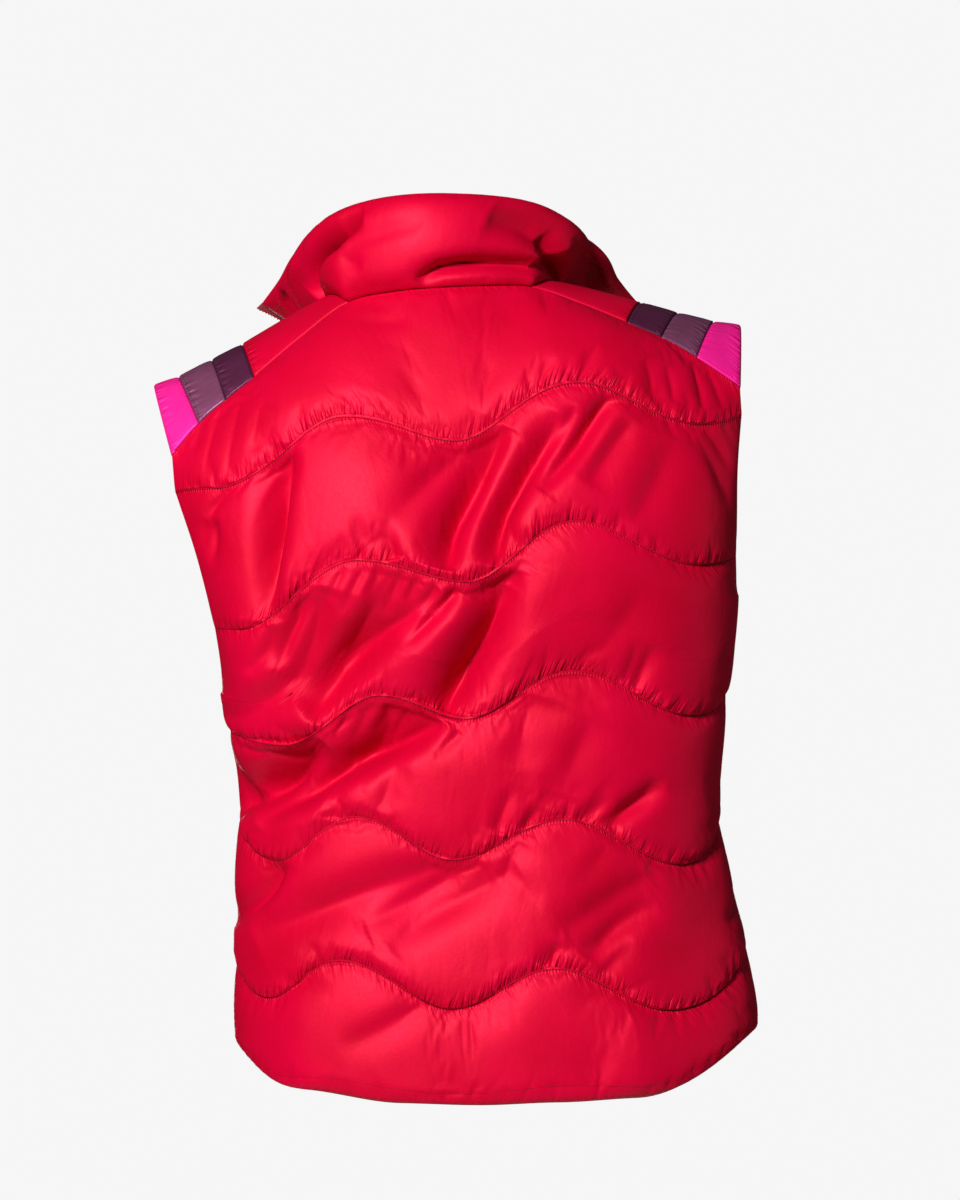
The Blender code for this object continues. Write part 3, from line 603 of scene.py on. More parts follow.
# Folds of the worn back: pressed together above the waist on its left, and looser elsewhere
BACK_FOLDS = (
    # Above the top seam: soft lines under the neck, and pleats that fan out from both armholes
    ((0.1008, -0.0154, 0.0662, -0.0245, 0.0356, -0.0242), 0.0082, 0.0092, 0.0008, 0.50),
    ((-0.0726, 0.0011, -0.0363, -0.0049, 0.0037, -0.0162), 0.0082, 0.0092, 0.0008, 0.50),
    ((0.2001, -0.0856, 0.2055, -0.1059, 0.2100, -0.1239), 0.0046, 0.0042, 0.0010, 0.60),
    ((0.1877, -0.0899, 0.1931, -0.1187, 0.1975, -0.1453), 0.0046, 0.0052, 0.0007, 0.50),
    ((0.1687, -0.0822, 0.1734, -0.1086, 0.1782, -0.1458), 0.0054, 0.0052, 0.0009, 0.60),
    ((0.1492, -0.0872, 0.1535, -0.1075, 0.1579, -0.1277), 0.0054, 0.0061, 0.0006, 0.50),
    ((-0.1480, -0.0554, -0.1540, -0.0718, -0.1552, -0.0858), 0.0046, 0.0042, 0.0009, 0.50),
    ((-0.1659, -0.0589, -0.1703, -0.0738, -0.1724, -0.0877), 0.0046, 0.0042, 0.0010, 0.50),
    ((-0.1894, -0.0529, -0.1943, -0.0730, -0.1979, -0.0918), 0.0046, 0.0042, 0.0012, 0.50),
    ((-0.2026, -0.0541, -0.2102, -0.0740, -0.2155, -0.0903), 0.0046, 0.0042, 0.0014, 0.50),
    ((-0.2116, -0.0606, -0.2203, -0.0744, -0.2260, -0.0849), 0.0037, 0.0042, 0.0011, 0.50),
    # Between the two upper seams
    ((0.1293, -0.1211, 0.1316, -0.1402, 0.1363, -0.1639, 0.1393, -0.1877,
      0.1433, -0.2153, 0.1474, -0.2588), 0.0115, 0.0041, 0.0090, 0.60),
    ((0.1781, -0.1522, 0.1873, -0.1648, 0.1958, -0.1806), 0.0046, 0.0036, 0.0019, 0.50),
    ((0.1949, -0.1790, 0.1994, -0.1909, 0.2042, -0.2068), 0.0054, 0.0042, 0.0019, 0.40),
    ((0.1889, -0.1775, 0.1898, -0.1951, 0.1927, -0.2134), 0.0041, 0.0036, 0.0022, 0.50),
    ((0.0542, -0.1803, 0.0502, -0.1961, 0.0470, -0.2117), 0.0072, 0.0036, 0.0022, 0.80),
    ((-0.0077, -0.1249, 0.0190, -0.1503, 0.0557, -0.1898), 0.0118, 0.0118, 0.0030, 0.40),
    ((-0.0391, -0.1060, -0.0265, -0.1329, -0.0132, -0.1606, -0.0015, -0.1866,
      0.0071, -0.2196), 0.0132, 0.0049, 0.0095, 0.60),
    ((-0.0824, -0.0982, -0.0689, -0.1253, -0.0524, -0.1505, -0.0398, -0.1765,
      -0.0312, -0.2164), 0.0115, 0.0046, 0.0090, 0.60),
    ((-0.0959, -0.0933, -0.0847, -0.1109, -0.0697, -0.1300), 0.0054, 0.0042, 0.0019, 0.40),
    ((-0.1238, -0.0810, -0.1085, -0.1044, -0.0957, -0.1236, -0.0798, -0.1427,
      -0.0672, -0.1584), 0.0071, 0.0040, 0.0055, 0.40),
    ((-0.1702, -0.1180, -0.1560, -0.1500, -0.1385, -0.1850), 0.0095, 0.0085, 0.0016, 0.50),
    ((-0.1388, -0.1031, -0.1222, -0.1264, -0.1040, -0.1543), 0.0080, 0.0060, 0.0026, 0.50),
    ((-0.0445, -0.1851, -0.0476, -0.1977, -0.0499, -0.2102), 0.0046, 0.0036, 0.0015, 0.70),
    ((-0.1908, -0.1139, -0.2049, -0.1391, -0.2195, -0.1707), 0.0063, 0.0061, 0.0014, 0.50),
    ((-0.1993, -0.1055, -0.2144, -0.1267, -0.2268, -0.1478), 0.0054, 0.0052, 0.0015, 0.50),
    ((-0.2118, -0.1019, -0.2231, -0.1166, -0.2292, -0.1333), 0.0046, 0.0042, 0.0014, 0.50),
    # Between the second and third seams, where the waist bends
    ((0.1006, -0.2336, 0.1063, -0.2548, 0.1152, -0.2784, 0.1299, -0.3062,
      0.1534, -0.3274, 0.1771, -0.3417), 0.0124, 0.0105, 0.0054, 0.45),
    ((0.0860, -0.2170, 0.0920, -0.2310, 0.0980, -0.2430), 0.0040, 0.0036, 0.0011, 0.40),
    ((0.0700, -0.2160, 0.0790, -0.2350, 0.0890, -0.2550), 0.0045, 0.0036, 0.0016, 0.40),
    ((0.0570, -0.2170, 0.0640, -0.2310, 0.0710, -0.2430), 0.0040, 0.0036, 0.0012, 0.40),
    ((0.0400, -0.2200, 0.0490, -0.2390, 0.0590, -0.2560), 0.0045, 0.0036, 0.0015, 0.40),
    ((0.0260, -0.2220, 0.0330, -0.2350, 0.0410, -0.2470), 0.0040, 0.0036, 0.0012, 0.40),
    ((0.0100, -0.2260, 0.0190, -0.2410, 0.0280, -0.2530), 0.0040, 0.0036, 0.0014, 0.40),
    ((0.1174, -0.2383, 0.1239, -0.2548, 0.1329, -0.2746, 0.1404, -0.2960),
     0.0071, 0.0044, 0.0038, 0.60),
    ((0.1409, -0.2635, 0.1476, -0.2826, 0.1605, -0.3019), 0.0054, 0.0042, 0.0019, 0.50),
    ((0.0470, -0.2195, 0.0627, -0.2453, 0.0787, -0.2728, 0.0931, -0.2997),
     0.0087, 0.0071, 0.0030, 0.50),
    ((0.0126, -0.2336, 0.0361, -0.2547, 0.0621, -0.2759, 0.0843, -0.2980,
      0.1043, -0.3203, 0.1157, -0.3323), 0.0190, 0.0072, 0.0098, 0.60),
    ((-0.0031, -0.2336, 0.0087, -0.2477, 0.0228, -0.2626, 0.0393, -0.2798),
     0.0047, 0.0036, 0.0040, 0.40),
    ((-0.0445, -0.2180, -0.0382, -0.2414, -0.0281, -0.2704, -0.0132, -0.2962,
      0.0009, -0.3198, 0.0103, -0.3364), 0.0168, 0.0063, 0.0118, 0.55),
    ((-0.0554, -0.2110, -0.0484, -0.2211, -0.0429, -0.2321), 0.0041, 0.0036, 0.0015, 0.50),
    ((-0.1461, -0.2336, -0.1280, -0.2627, -0.1131, -0.2863), 0.0082, 0.0092, 0.0008, 0.50),
    ((-0.1560, -0.2762, -0.1481, -0.2943, -0.1410, -0.3140), 0.0063, 0.0047, 0.0020, 0.65),
    ((-0.1416, -0.2729, -0.1377, -0.2903, -0.1314, -0.3076), 0.0046, 0.0047, 0.0011, 0.60),
    # Between the third and fourth seams
    ((0.1029, -0.3559, 0.1199, -0.3713, 0.1390, -0.3863, 0.1578, -0.3986,
      0.1810, -0.4148), 0.0186, 0.0054, 0.0112, 0.65),
    ((0.0441, -0.3200, 0.0584, -0.3492, 0.0822, -0.3770), 0.0095, 0.0071, 0.0035, 0.50),
    ((0.0800, -0.3250, 0.0870, -0.3380, 0.0950, -0.3500), 0.0040, 0.0036, 0.0013, 0.40),
    ((0.0650, -0.3230, 0.0740, -0.3400, 0.0840, -0.3570), 0.0045, 0.0036, 0.0016, 0.40),
    ((0.0510, -0.3250, 0.0580, -0.3370, 0.0660, -0.3480), 0.0040, 0.0036, 0.0012, 0.40),
    ((0.0360, -0.3290, 0.0450, -0.3420, 0.0540, -0.3540), 0.0040, 0.0036, 0.0013, 0.40),
    ((-0.0050, -0.3450, 0.0050, -0.3560, 0.0150, -0.3660), 0.0040, 0.0036, 0.0012, 0.40),
    ((0.0096, -0.3356, 0.0308, -0.3498, 0.0545, -0.3610, 0.0759, -0.3706,
      0.0958, -0.3835, 0.1160, -0.3975, 0.1349, -0.4069, 0.1544, -0.4192),
     0.0177, 0.0046, 0.0112, 0.50),
    ((0.0096, -0.3403, 0.0339, -0.3553, 0.0568, -0.3673, 0.0783, -0.3801,
      0.0999, -0.3963), 0.0063, 0.0061, 0.0022, 0.50),
    ((0.0411, -0.3703, 0.0497, -0.3885, 0.0584, -0.4082), 0.0063, 0.0061, 0.0011, 0.50),
    ((0.0870, -0.3913, 0.0918, -0.4032, 0.0935, -0.4167), 0.0054, 0.0042, 0.0015, 0.70),
    ((-0.0611, -0.3176, -0.0548, -0.3411, -0.0477, -0.3749), 0.0087, 0.0087, 0.0013, 0.50),
    ((-0.1084, -0.3359, -0.0958, -0.3610, -0.0824, -0.3940), 0.0111, 0.0111, 0.0016, 0.50),
    ((-0.0470, -0.3867, -0.0399, -0.4040, -0.0336, -0.4252), 0.0063, 0.0047, 0.0016, 0.75),
    ((-0.0658, -0.4049, -0.0603, -0.4143, -0.0532, -0.4252), 0.0046, 0.0042, 0.0015, 0.60),
    ((-0.1196, -0.3976, -0.1085, -0.4084, -0.0982, -0.4193), 0.0054, 0.0042, 0.0015, 0.60),
    ((-0.1615, -0.3882, -0.1469, -0.4005, -0.1324, -0.4112, -0.1204, -0.4243),
     0.0071, 0.0040, 0.0040, 0.50),
    # Below the fourth seam: broad soft folds
    ((0.0017, -0.4480, 0.0387, -0.4614, 0.0782, -0.4760, 0.1184, -0.4941,
      0.1544, -0.5122), 0.0134, 0.0118, 0.0045, 0.50),
    ((-0.0218, -0.4472, 0.0112, -0.4668, 0.0426, -0.4849, 0.0702, -0.5001),
     0.0095, 0.0095, 0.0033, 0.50),
    ((-0.0501, -0.4534, -0.0124, -0.4745, 0.0229, -0.4941, 0.0488, -0.5177),
     0.0103, 0.0103, 0.0030, 0.50),
    ((0.1358, -0.4500, 0.1467, -0.4747, 0.1765, -0.5078), 0.0071, 0.0040, 0.0045, 0.50),
    ((-0.0509, -0.4323, -0.0446, -0.4471, -0.0383, -0.4643), 0.0046, 0.0052, 0.0011, 0.50),
    ((-0.1196, -0.4369, -0.1068, -0.4539, -0.0894, -0.4731), 0.0082, 0.0092, 0.0010, 0.40),
    ((-0.1500, -0.4630, -0.1162, -0.4830, -0.0853, -0.5034), 0.0118, 0.0103, 0.0030, 0.50),
    ((-0.1565, -0.4829, -0.1273, -0.5020, -0.1042, -0.5255), 0.0095, 0.0055, 0.0038, 0.55),
    ((-0.1385, -0.5133, -0.1240, -0.5275, -0.1121, -0.5389), 0.0046, 0.0042, 0.0015, 0.50),
    ((-0.0830, -0.5119, -0.0759, -0.5211, -0.0688, -0.5312), 0.0054, 0.0042, 0.0016, 0.60),
    ((-0.2341, -0.4716, -0.2251, -0.4903, -0.2152, -0.5072), 0.0054, 0.0052, 0.0015, 0.50),
    # Over the hem: two blunt corners where the cloth hangs from the hips
    ((0.1125, -0.5472, 0.1157, -0.5908, 0.1173, -0.6366), 0.0200, 0.0180, -0.0022, 0.65),
    ((-0.1319, -0.5496, -0.1397, -0.5888, -0.1404, -0.6308), 0.0180, 0.0200, -0.0022, 0.65),
    ((0.0228, -0.5595, 0.0543, -0.5787, 0.0875, -0.5946), 0.0079, 0.0079, 0.0016, 0.40),
)


def quilted(panel, table, seed, left=EDGE_REACH, right=EDGE_REACH):
    """Shape a body panel: full channels, hem, gathers, uneven wadding and folds."""
    panel["hem"] = int(np.argmin(np.abs(panel["up"] - HEM_FOLD)))
    hang = np.where(panel["up"] < 1, HEM_HANG, HANG)[:, None]
    share = loft(panel, hang, left=left, right=right)
    from_hem = np.abs(panel["height"] - panel["height"][panel["hem"]])
    share = share * (1 - 0.05 * np.exp(-(from_hem / 0.0020)**2))
    crease = folds(panel["place"][..., 0], panel["place"][..., 2], table)
    aside = np.minimum(panel["left"], panel["right"])
    crease = crease * np.minimum(1, share * 2.2) * smooth(aside / 0.035)
    depth = OUTER_LOFT * share + swells(panel, seed + 1) * share
    depth -= puckers(panel, seed) * np.minimum(1, share * 3) + crease
    skins(panel, depth, INNER_LOFT * share + 1.1 * crease, blunt=(0.0, 0.55))
    settled(panel)
    # Settling fills a fold a little, which this takes back
    panel["outer"] -= panel["out"] * (0.35 * crease)[..., None]
    # The hem's lower edge is turned and not sewn, so it has few gathers
    panel["below"] = panel["below"] + np.where(panel["up"] < 0.6, 0.008, 0)[:, None]


back = measured(back_grid, columns_over(BACK_WIDTH),
                rows_between([0, HEM_FOLD] + seams[1:], back_grid, trim=(0, NECK_GAP)), seams)
quilted(back, BACK_FOLDS, 3)
piece = padded_wall("back_panel_cloth", back, red_taffeta)
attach(piece, "garment")
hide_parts("back_panel")

# ---------------------------------------------------------------------------------------
# Fronts: two padded panels in the same cloth and quilting, which hang open. Each runs from
# the zip round to the side, where it is sewn to the back, and up to its shoulder strip.
FRONT_EDGES = (     # seams up from the hem, angle of the open edge in front of each side
    (0, 60.0, 64.0), (1, 60.0, 64.0), (2, 60.0, 63.0), (3, 60.0, 62.0), (4, 58.0, 58.0),
    (5, 53.0, 51.0),
)
FRONT_WIDTH = 0.225
FRONT_NECK = 0.38       # of a front's top edge, taken by its neckline
FRONT_LEVEL = 5.7       # seams up, above which a front faces one way
LEFT_NECK_POINT = (0.0920, -0.1120, -0.0680)
RIGHT_NECK_POINT = (-0.1000, -0.1120, -0.0730)


def front_top(s, ridge, neck_point):
    """Top edge of a front: s runs from the neck point over the strip's end to its tip."""
    over = curve(ridge, (1 - s) / (1 - FRONT_NECK))[:, 3:]
    low, high = np.array(neck_point), np.array(ridge[-1][4:])
    beside = low + (high - low) * (s / FRONT_NECK)[:, None]
    return np.where((s >= FRONT_NECK)[:, None], over, beside)


def front_grid(s, up, left):
    """A front's form: the left one runs from the zip to the side, the right one back."""
    def low(up):
        edges, sides = curve(FRONT_EDGES, up), curve(LEFT_ARMHOLE if left else RIGHT_ARMHOLE, up)
        if left:
            return body(-edges[:, :1] + (edges[:, :1] - sides[:, 1:]) * s, up)
        return body(180 + sides[:, 1:] + (edges[:, 1:] - sides[:, 1:]) * s, up)

    if left:
        top = front_top(s, LEFT_RIDGE, LEFT_NECK_POINT)
    else:
        top = front_top(1 - s, RIGHT_RIDGE, RIGHT_NECK_POINT)
    over = top + (-0.006 if left else 0.006, 0.045, 0.025)      # onto the shoulder
    fourth, fifth = low(np.array([4.0, 5.0]))
    upper = through(fourth, fifth, top, over, up[up > 5] - 5)
    return np.concatenate([low(up[up <= 5]), upper])


left_grid = partial(front_grid, left=True)
right_grid = partial(front_grid, left=False)
LEFT_FOLDS = (
    ((0.1300, -0.1300, 0.1420, -0.1750, 0.1620, -0.2150), 0.0100, 0.0050, 0.0050, 0.50),
    ((0.1650, -0.1250, 0.1780, -0.1600), 0.0070, 0.0050, 0.0030, 0.50),
    ((0.1300, -0.2700, 0.1700, -0.2950, 0.2080, -0.3350), 0.0120, 0.0060, 0.0070, 0.60),
    ((0.0800, -0.2600, 0.0950, -0.2900, 0.1250, -0.3250), 0.0100, 0.0060, 0.0040, 0.50),
    ((0.1200, -0.3700, 0.1600, -0.3900, 0.2000, -0.4250), 0.0120, 0.0060, 0.0060, 0.55),
    ((0.0800, -0.4650, 0.1200, -0.4850, 0.1700, -0.5150), 0.0130, 0.0110, 0.0035, 0.50),
)
RIGHT_FOLDS = (
    ((-0.1400, -0.1150, -0.1560, -0.1550, -0.1620, -0.1950), 0.0060, 0.0100, 0.0050, 0.50),
    ((-0.1850, -0.1150, -0.1950, -0.1450), 0.0050, 0.0070, 0.0030, 0.50),
    ((-0.1300, -0.2400, -0.1700, -0.2700, -0.2050, -0.3050), 0.0060, 0.0110, 0.0055, 0.55),
    ((-0.1400, -0.3500, -0.1750, -0.3700, -0.2150, -0.4050), 0.0060, 0.0120, 0.0050, 0.55),
    ((-0.1250, -0.4550, -0.1600, -0.4800, -0.2050, -0.5050), 0.0110, 0.0130, 0.0035, 0.50),
)
fronts = {}
for side, grid, table, seed in (("left", left_grid, LEFT_FOLDS, 11),
                                ("right", right_grid, RIGHT_FOLDS, 12)):
    rows = rows_between([0, HEM_FOLD] + seams[1:], grid, trim=(0, NECK_GAP))
    panel = measured(grid, columns_over(FRONT_WIDTH), rows, seams, FRONT_LEVEL)
    reaches = (OPEN_REACH, EDGE_REACH)
    quilted(panel, table, seed, *(reaches if side == "left" else reversed(reaches)))
    fronts[side] = panel
    piece = padded_wall("front_%s_cloth" % side, panel, red_taffeta)
    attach(piece, "garment")
    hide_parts("front_" + side)


def flat_wall(name, place, lift, across, run, material):
    """A thin flat wall either side of a grid of places, such as a binding or a tape."""
    panel = {"outer": place + lift, "inner": place - lift, "marks": [],
             "width": np.broadcast_to(across, place.shape[:2]),
             "height": np.broadcast_to(run[:, None], place.shape[:2])}
    for key in ("below", "above", "seam_below", "seam_above"):
        panel[key] = panel["height"] + 0.02     # too far from a seam for gathers
    return padded_wall(name, panel, material, every=1)


# A narrow binding inside each side seam, from the hem to the armhole's foot, which covers
# where the back meets the front
BINDING_DEPTH = 0.0010      # inside the form
BINDING_HALF = 0.0001       # half its thickness
for side, column, beside, top in (("left", 0, 1, 3.33), ("right", -1, -2, 3.69)):
    last = int(np.searchsorted(back["up"], top))
    here, out = back["place"][1:last, column], back["out"][1:last, column]
    away = unit(back["place"][1:last, beside] - here)
    away = away if side == "left" else -away
    across = np.array([-0.0007, -0.0002, 0.0002, 0.0007])
    place = here[:, None] + away[:, None] * across[None, :, None]
    place = place - out[:, None] * BINDING_DEPTH
    lift = np.broadcast_to(out[:, None], place.shape) * BINDING_HALF
    piece = flat_wall("side_seam_%s_binding" % side, place, lift, across,
                      back["height"][1:last, 0], red_taffeta)
    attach(piece, "garment")

# ---------------------------------------------------------------------------------------
# Shoulder strips: four padded bands each, sewn edge to edge from the tip to the neck in
# magenta, mauve, dark plum and red. A strip joins the back's top edge to a front's.
STRIP_LENGTH = 0.135    # from the front seam over the shoulder to the back one
STRIP_LOFT = 0.0013
STRIP_ROUND = 0.009     # distance from a band's edge at which it is full
RED_THIN = 0.020        # the same below the neck, where the red band thins out
BAND_EDGE_ROUND = 0.0008
BANDS = (
    ("magenta", 0.0, 0.18, taffeta("magenta_polyester_taffeta", "#DA107A", "#E82288",
                                    0.20, 0.42, 0.12)),
    ("mauve", 0.18, 0.34, taffeta("mauve_polyester_taffeta", "#68334F", "#7A4360",
                                  0.35, 0.42, 0.10)),
    ("plum", 0.34, 0.50, taffeta("plum_polyester_taffeta", "#471B33", "#552440",
                                 0.35, 0.42, 0.09)),
    ("red", 0.50, 1.0, red_taffeta),
)


def strip_grid(s, up, left):
    """A shoulder strip: s from its front seam to its back seam on the left, the other way
    on the right, up from tip to neck."""
    row = curve(LEFT_RIDGE if left else RIGHT_RIDGE, up)
    back_edge = curve(BACK_TOP, STRIP_SHARE * up if left else 1 - STRIP_SHARE * up)
    f = (s if left else 1 - s)[None, :, None]
    a, b, c = (1 - f) * (1 - 2 * f), 4 * f * (1 - f), f * (2 * f - 1)
    return row[:, None, 3:] * a + row[:, None, :3] * b + back_edge[:, None] * c


strips = {}
for side in ("left", "right"):
    for number, (band, start, end, cloth) in enumerate(BANDS):
        grid = partial(strip_grid, left=side == "left")
        trim = (0 if band == "magenta" else EDGE_GAP, NECK_GAP if band == "red" else EDGE_GAP)
        panel = measured(grid, columns_over(STRIP_LENGTH),
                         rows_between([start, end], grid, trim=trim), [start, end])
        thin = RED_THIN if band == "red" else STRIP_ROUND
        share = loft(panel, STRIP_ROUND, thin, STRIP_ROUND, STRIP_ROUND)
        seed = 21 + number + (0 if side == "left" else 10)
        depth = STRIP_LOFT * share
        depth -= puckers(panel, seed, (0.004, 0.020), (0.0003, 0.0012), 0.1, 1.0) * share
        skins(panel, depth, 0.3 * STRIP_LOFT * share, BAND_EDGE_ROUND, (0.55, 0.55))
        # The bands' seams are pressed open, so they get less painted shade than quilting
        panel["below"], panel["above"] = panel["below"] + 0.0006, panel["above"] + 0.0006
        strips[side, band] = panel
        piece = padded_wall("shoulder_%s_%s_cloth" % (side, band), panel, cloth)
        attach(piece, "garment")
        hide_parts("shoulder_%s_%s" % (side, band))

# ---------------------------------------------------------------------------------------
# Collar: one padded piece round the neck, sewn to the neckline by its lower edge and worn
# turned up. Behind the neck it stands, and at both front corners it flares outward.
COLLAR = (      # share round the neck from the left, then its bulge and its upper edge
    (0.00, 0.1220, -0.1170, -0.0190, 0.1660, -0.1040, 0.0110),
    (0.15, 0.1280, -0.0670, 0.0110, 0.1500, -0.0690, 0.0270),
    (0.29, 0.1200, -0.0120, 0.0370, 0.1300, -0.0220, 0.0500),
    (0.40, 0.0900, 0.0540, 0.0400, 0.0880, 0.0400, 0.0745),
    (0.51, 0.0170, 0.0830, 0.0450, 0.0180, 0.0740, 0.0830),
    (0.61, -0.0660, 0.0570, 0.0450, -0.0680, 0.0400, 0.0770),
    (0.72, -0.0970, -0.0110, 0.0450, -0.1200, -0.0220, 0.0470),
    (0.85, -0.1070, -0.0680, 0.0230, -0.1380, -0.0660, 0.0250),
    (1.00, -0.1180, -0.1190, -0.0240, -0.1600, -0.1020, 0.0060),
)
# Folds where the collar bends round the neck, by metres along it from its left end and up
COLLAR_FOLDS = (
    ((-0.2110, 0.0600, -0.1890, 0.0490, -0.1660, 0.0340, -0.1450, 0.0170, -0.1280, 0.0030),
     0.0105, 0.0030, 0.0110, 0.50),
    ((-0.2620, 0.0080, -0.2819, 0.0159, -0.3087, 0.0185, -0.3286, 0.0180, -0.3670, 0.0150,
      -0.4150, 0.0100), 0.0055, 0.0030, 0.0060, 0.45),
    ((-0.3100, 0.0500, -0.3417, 0.0470, -0.3659, 0.0376, -0.3900, 0.0230),
     0.0090, 0.0110, 0.0042, 0.50),
    ((-0.3640, 0.0370, -0.3860, 0.0220, -0.4120, 0.0100, -0.4270, 0.0020),
     0.0060, 0.0050, 0.0048, 0.45),
    ((-0.2040, 0.0415, -0.2320, 0.0450, -0.2640, 0.0495), 0.0050, 0.0050, 0.0009, 0.50),
    ((-0.1988, 0.0360, -0.2102, 0.0267, -0.2207, 0.0227), 0.0040, 0.0040, 0.0010, 0.50),
    ((-0.1211, 0.0560, -0.0990, 0.0400, -0.0700, 0.0250), 0.0050, 0.0050, -0.0020, 0.50),
    ((-0.0886, 0.0600, -0.0700, 0.0420, -0.0550, 0.0200), 0.0100, 0.0060, 0.0036, 0.50),
    ((-0.0350, 0.0760, -0.0300, 0.0500, -0.0340, 0.0240), 0.0090, 0.0060, 0.0030, 0.50),
    ((-0.4600, 0.0560, -0.4900, 0.0380, -0.5100, 0.0160), 0.0080, 0.0080, 0.0014, 0.50),
)
FRONT_SHARE = 0.15      # of the collar's run, along each front's own neckline
BACK_SHARES = (0.40, 0.61)
COLLAR_LIFT = (0.0008, 0.0003)      # lower edge above the neckline, at the sides and behind
COLLAR_LENGTH = 0.567
COLLAR_HEIGHT = 0.080
COLLAR_LOFT = 0.0070
COLLAR_INNER = 0.0028
COLLAR_FOOT = 0.020     # height above its seam at which the collar is full
COLLAR_BRIM = 0.022     # depth below its upper edge at which it is full
COLLAR_END = 0.016      # distance from its front corners at which it is full


def neckline(s, low=1.0):
    """The seam that the collar stands on, from the left neck point round to the right. Low
    under 1 gives the places a little below it, on the pieces that it is sewn to."""
    first, last = BACK_SHARES
    run = 1 - 2 * STRIP_SHARE
    one = np.array([low])
    top = np.array([5 + low])
    f = np.clip(s / FRONT_SHARE, 0, 1) * FRONT_NECK
    g = np.clip((1 - s) / FRONT_SHARE, 0, 1) * FRONT_NECK
    over_left = np.clip((s - FRONT_SHARE) / (first - FRONT_SHARE), 0, 1)
    over_right = np.clip((s - last) / (1 - FRONT_SHARE - last), 0, 1)
    behind = STRIP_SHARE + run * np.clip((s - first) / (last - first), 0, 1)
    if low < 1:
        ends = (left_grid(f, top)[0], right_grid(1 - g, top)[0])
        middle = back_grid(behind, top)[0]
    else:
        ends = (front_top(f, LEFT_RIDGE, LEFT_NECK_POINT),
                front_top(g, RIGHT_RIDGE, RIGHT_NECK_POINT))
        middle = curve(BACK_TOP, behind)
    where = [(s < place)[:, None] for place in (FRONT_SHARE, first, last, 1 - FRONT_SHARE)]
    return np.select(where, [ends[0], strip_grid(over_left, one, True)[0], middle,
                             strip_grid(over_right, one, False)[0]], ends[1])


def collar_grid(s, up):
    """The collar: s from the left front corner round the back to the right one."""
    aside = smooth((np.abs(s - sum(BACK_SHARES) / 2) - 0.06) / 0.08)
    lift = COLLAR_LIFT[1] + (COLLAR_LIFT[0] - COLLAR_LIFT[1]) * aside
    up = (up[:, None] + (1 - up[:, None]) * lift / COLLAR_HEIGHT)[..., None]
    row = curve(COLLAR, s)
    a, b, c = (1 - up) * (1 - 2 * up), 4 * up * (1 - up), up * (2 * up - 1)
    return neckline(s) * a + row[:, :3] * b + row[:, 3:] * c


collar = measured(collar_grid, columns_over(COLLAR_LENGTH),
                  rows_between([0, 1], collar_grid), [0, 1])
share = swell(collar["below"], COLLAR_FOOT)**1.3 * swell(collar["above"], COLLAR_BRIM)
share *= swell(collar["left"], COLLAR_END) * swell(collar["right"], COLLAR_END)
crease = folds(-collar["width"], collar["height"], COLLAR_FOLDS) * np.minimum(1, share * 2)
crease *= smooth(collar["above"] / 0.018)       # the upper edge itself stays smooth
depth = COLLAR_LOFT * share + swells(collar, 42, 0.0010) * share - crease
depth -= puckers(collar, 41, (0.005, 0.022), (0.0002, 0.0010), 0.2) * np.minimum(1, share * 3)
skins(collar, depth, COLLAR_INNER * share + 1.35 * crease)
settled(collar, pressure=6.0, farthest=0.0020, aside=0.020)
collar["outer"] -= collar["out"] * (0.6 * crease)[..., None]

# The seam allowance below the collar's edge, pressed down inside the pieces it is sewn to
around = neckline(collar["s"])
down = unit(neckline(collar["s"], 0.97) - around)
inward = unit(np.cross(np.gradient(around, axis=0), down))
for drop in (0.0002, 0.0026):
    for skin, sunk in (("outer", 0.0023), ("inner", 0.0029)):
        edge = around + down * drop + inward * sunk
        collar[skin] = np.concatenate([edge[None], collar[skin]])
    for key, by in (("width", 0), ("height", -drop), ("seam_below", 0), ("below", 0),
                    ("seam_above", 0), ("above", 0)):
        collar[key] = np.concatenate([collar[key][:1] + by, collar[key]])
for key in ("below", "above"):
    collar[key] = collar[key] + 0.02        # its seams lie flat, without gathers
piece = padded_wall("collar_cloth", collar, red_taffeta)
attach(piece, "garment")
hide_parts("collar")

# ---------------------------------------------------------------------------------------
# Stitching: a lockstitch in polyester thread of each cloth's own colour. It runs along every
# quilting seam, round the hem, and beside the edges that are sewn down flat.
STITCH = 0.0019         # length of a stitch that shows
THREAD = 0.00050        # thickness of the thread
THREAD_LIFT = 0.00012   # its middle above the cloth
FRONT_STITCHING = 0.0040    # topstitching from a front's open edge
END_STITCHING = 0.0026      # from a shoulder strip's front and back seams
BAND_STITCHING = 0.0024     # above the seam of the mauve and the red band
PLUM_STITCHING = 0.0022     # below the seam of the plum band


def thread(name, colour):
    """Twisted polyester sewing thread: a fine rope of plies, 0.4 mm apart, with a dull
    shine."""
    made, tree, shader = principled(name)
    spot = add(tree, "TexCoord").outputs["Object"]
    plies = add(tree, "TexWave", {"Vector": spot, "bands_direction": "DIAGONAL",
                "Scale": BAND_PERIOD / 0.0004, "Distortion": 1.0}).outputs["Fac"]
    deep = (*[v * 0.55 for v in linear(colour)[:3]], 1)
    dye = add(tree, "ValToRGB", {"Fac": plies, "stops": ((0, deep), (1, linear(colour)))})
    bump = add(tree, "Bump", {"Height": plies, "Strength": 0.6, "Distance": 0.00008})
    feed(tree, shader, {"Base Color": dye, "Normal": bump, "Roughness": 0.5,
                        "Specular IOR Level": 0.15})
    return made


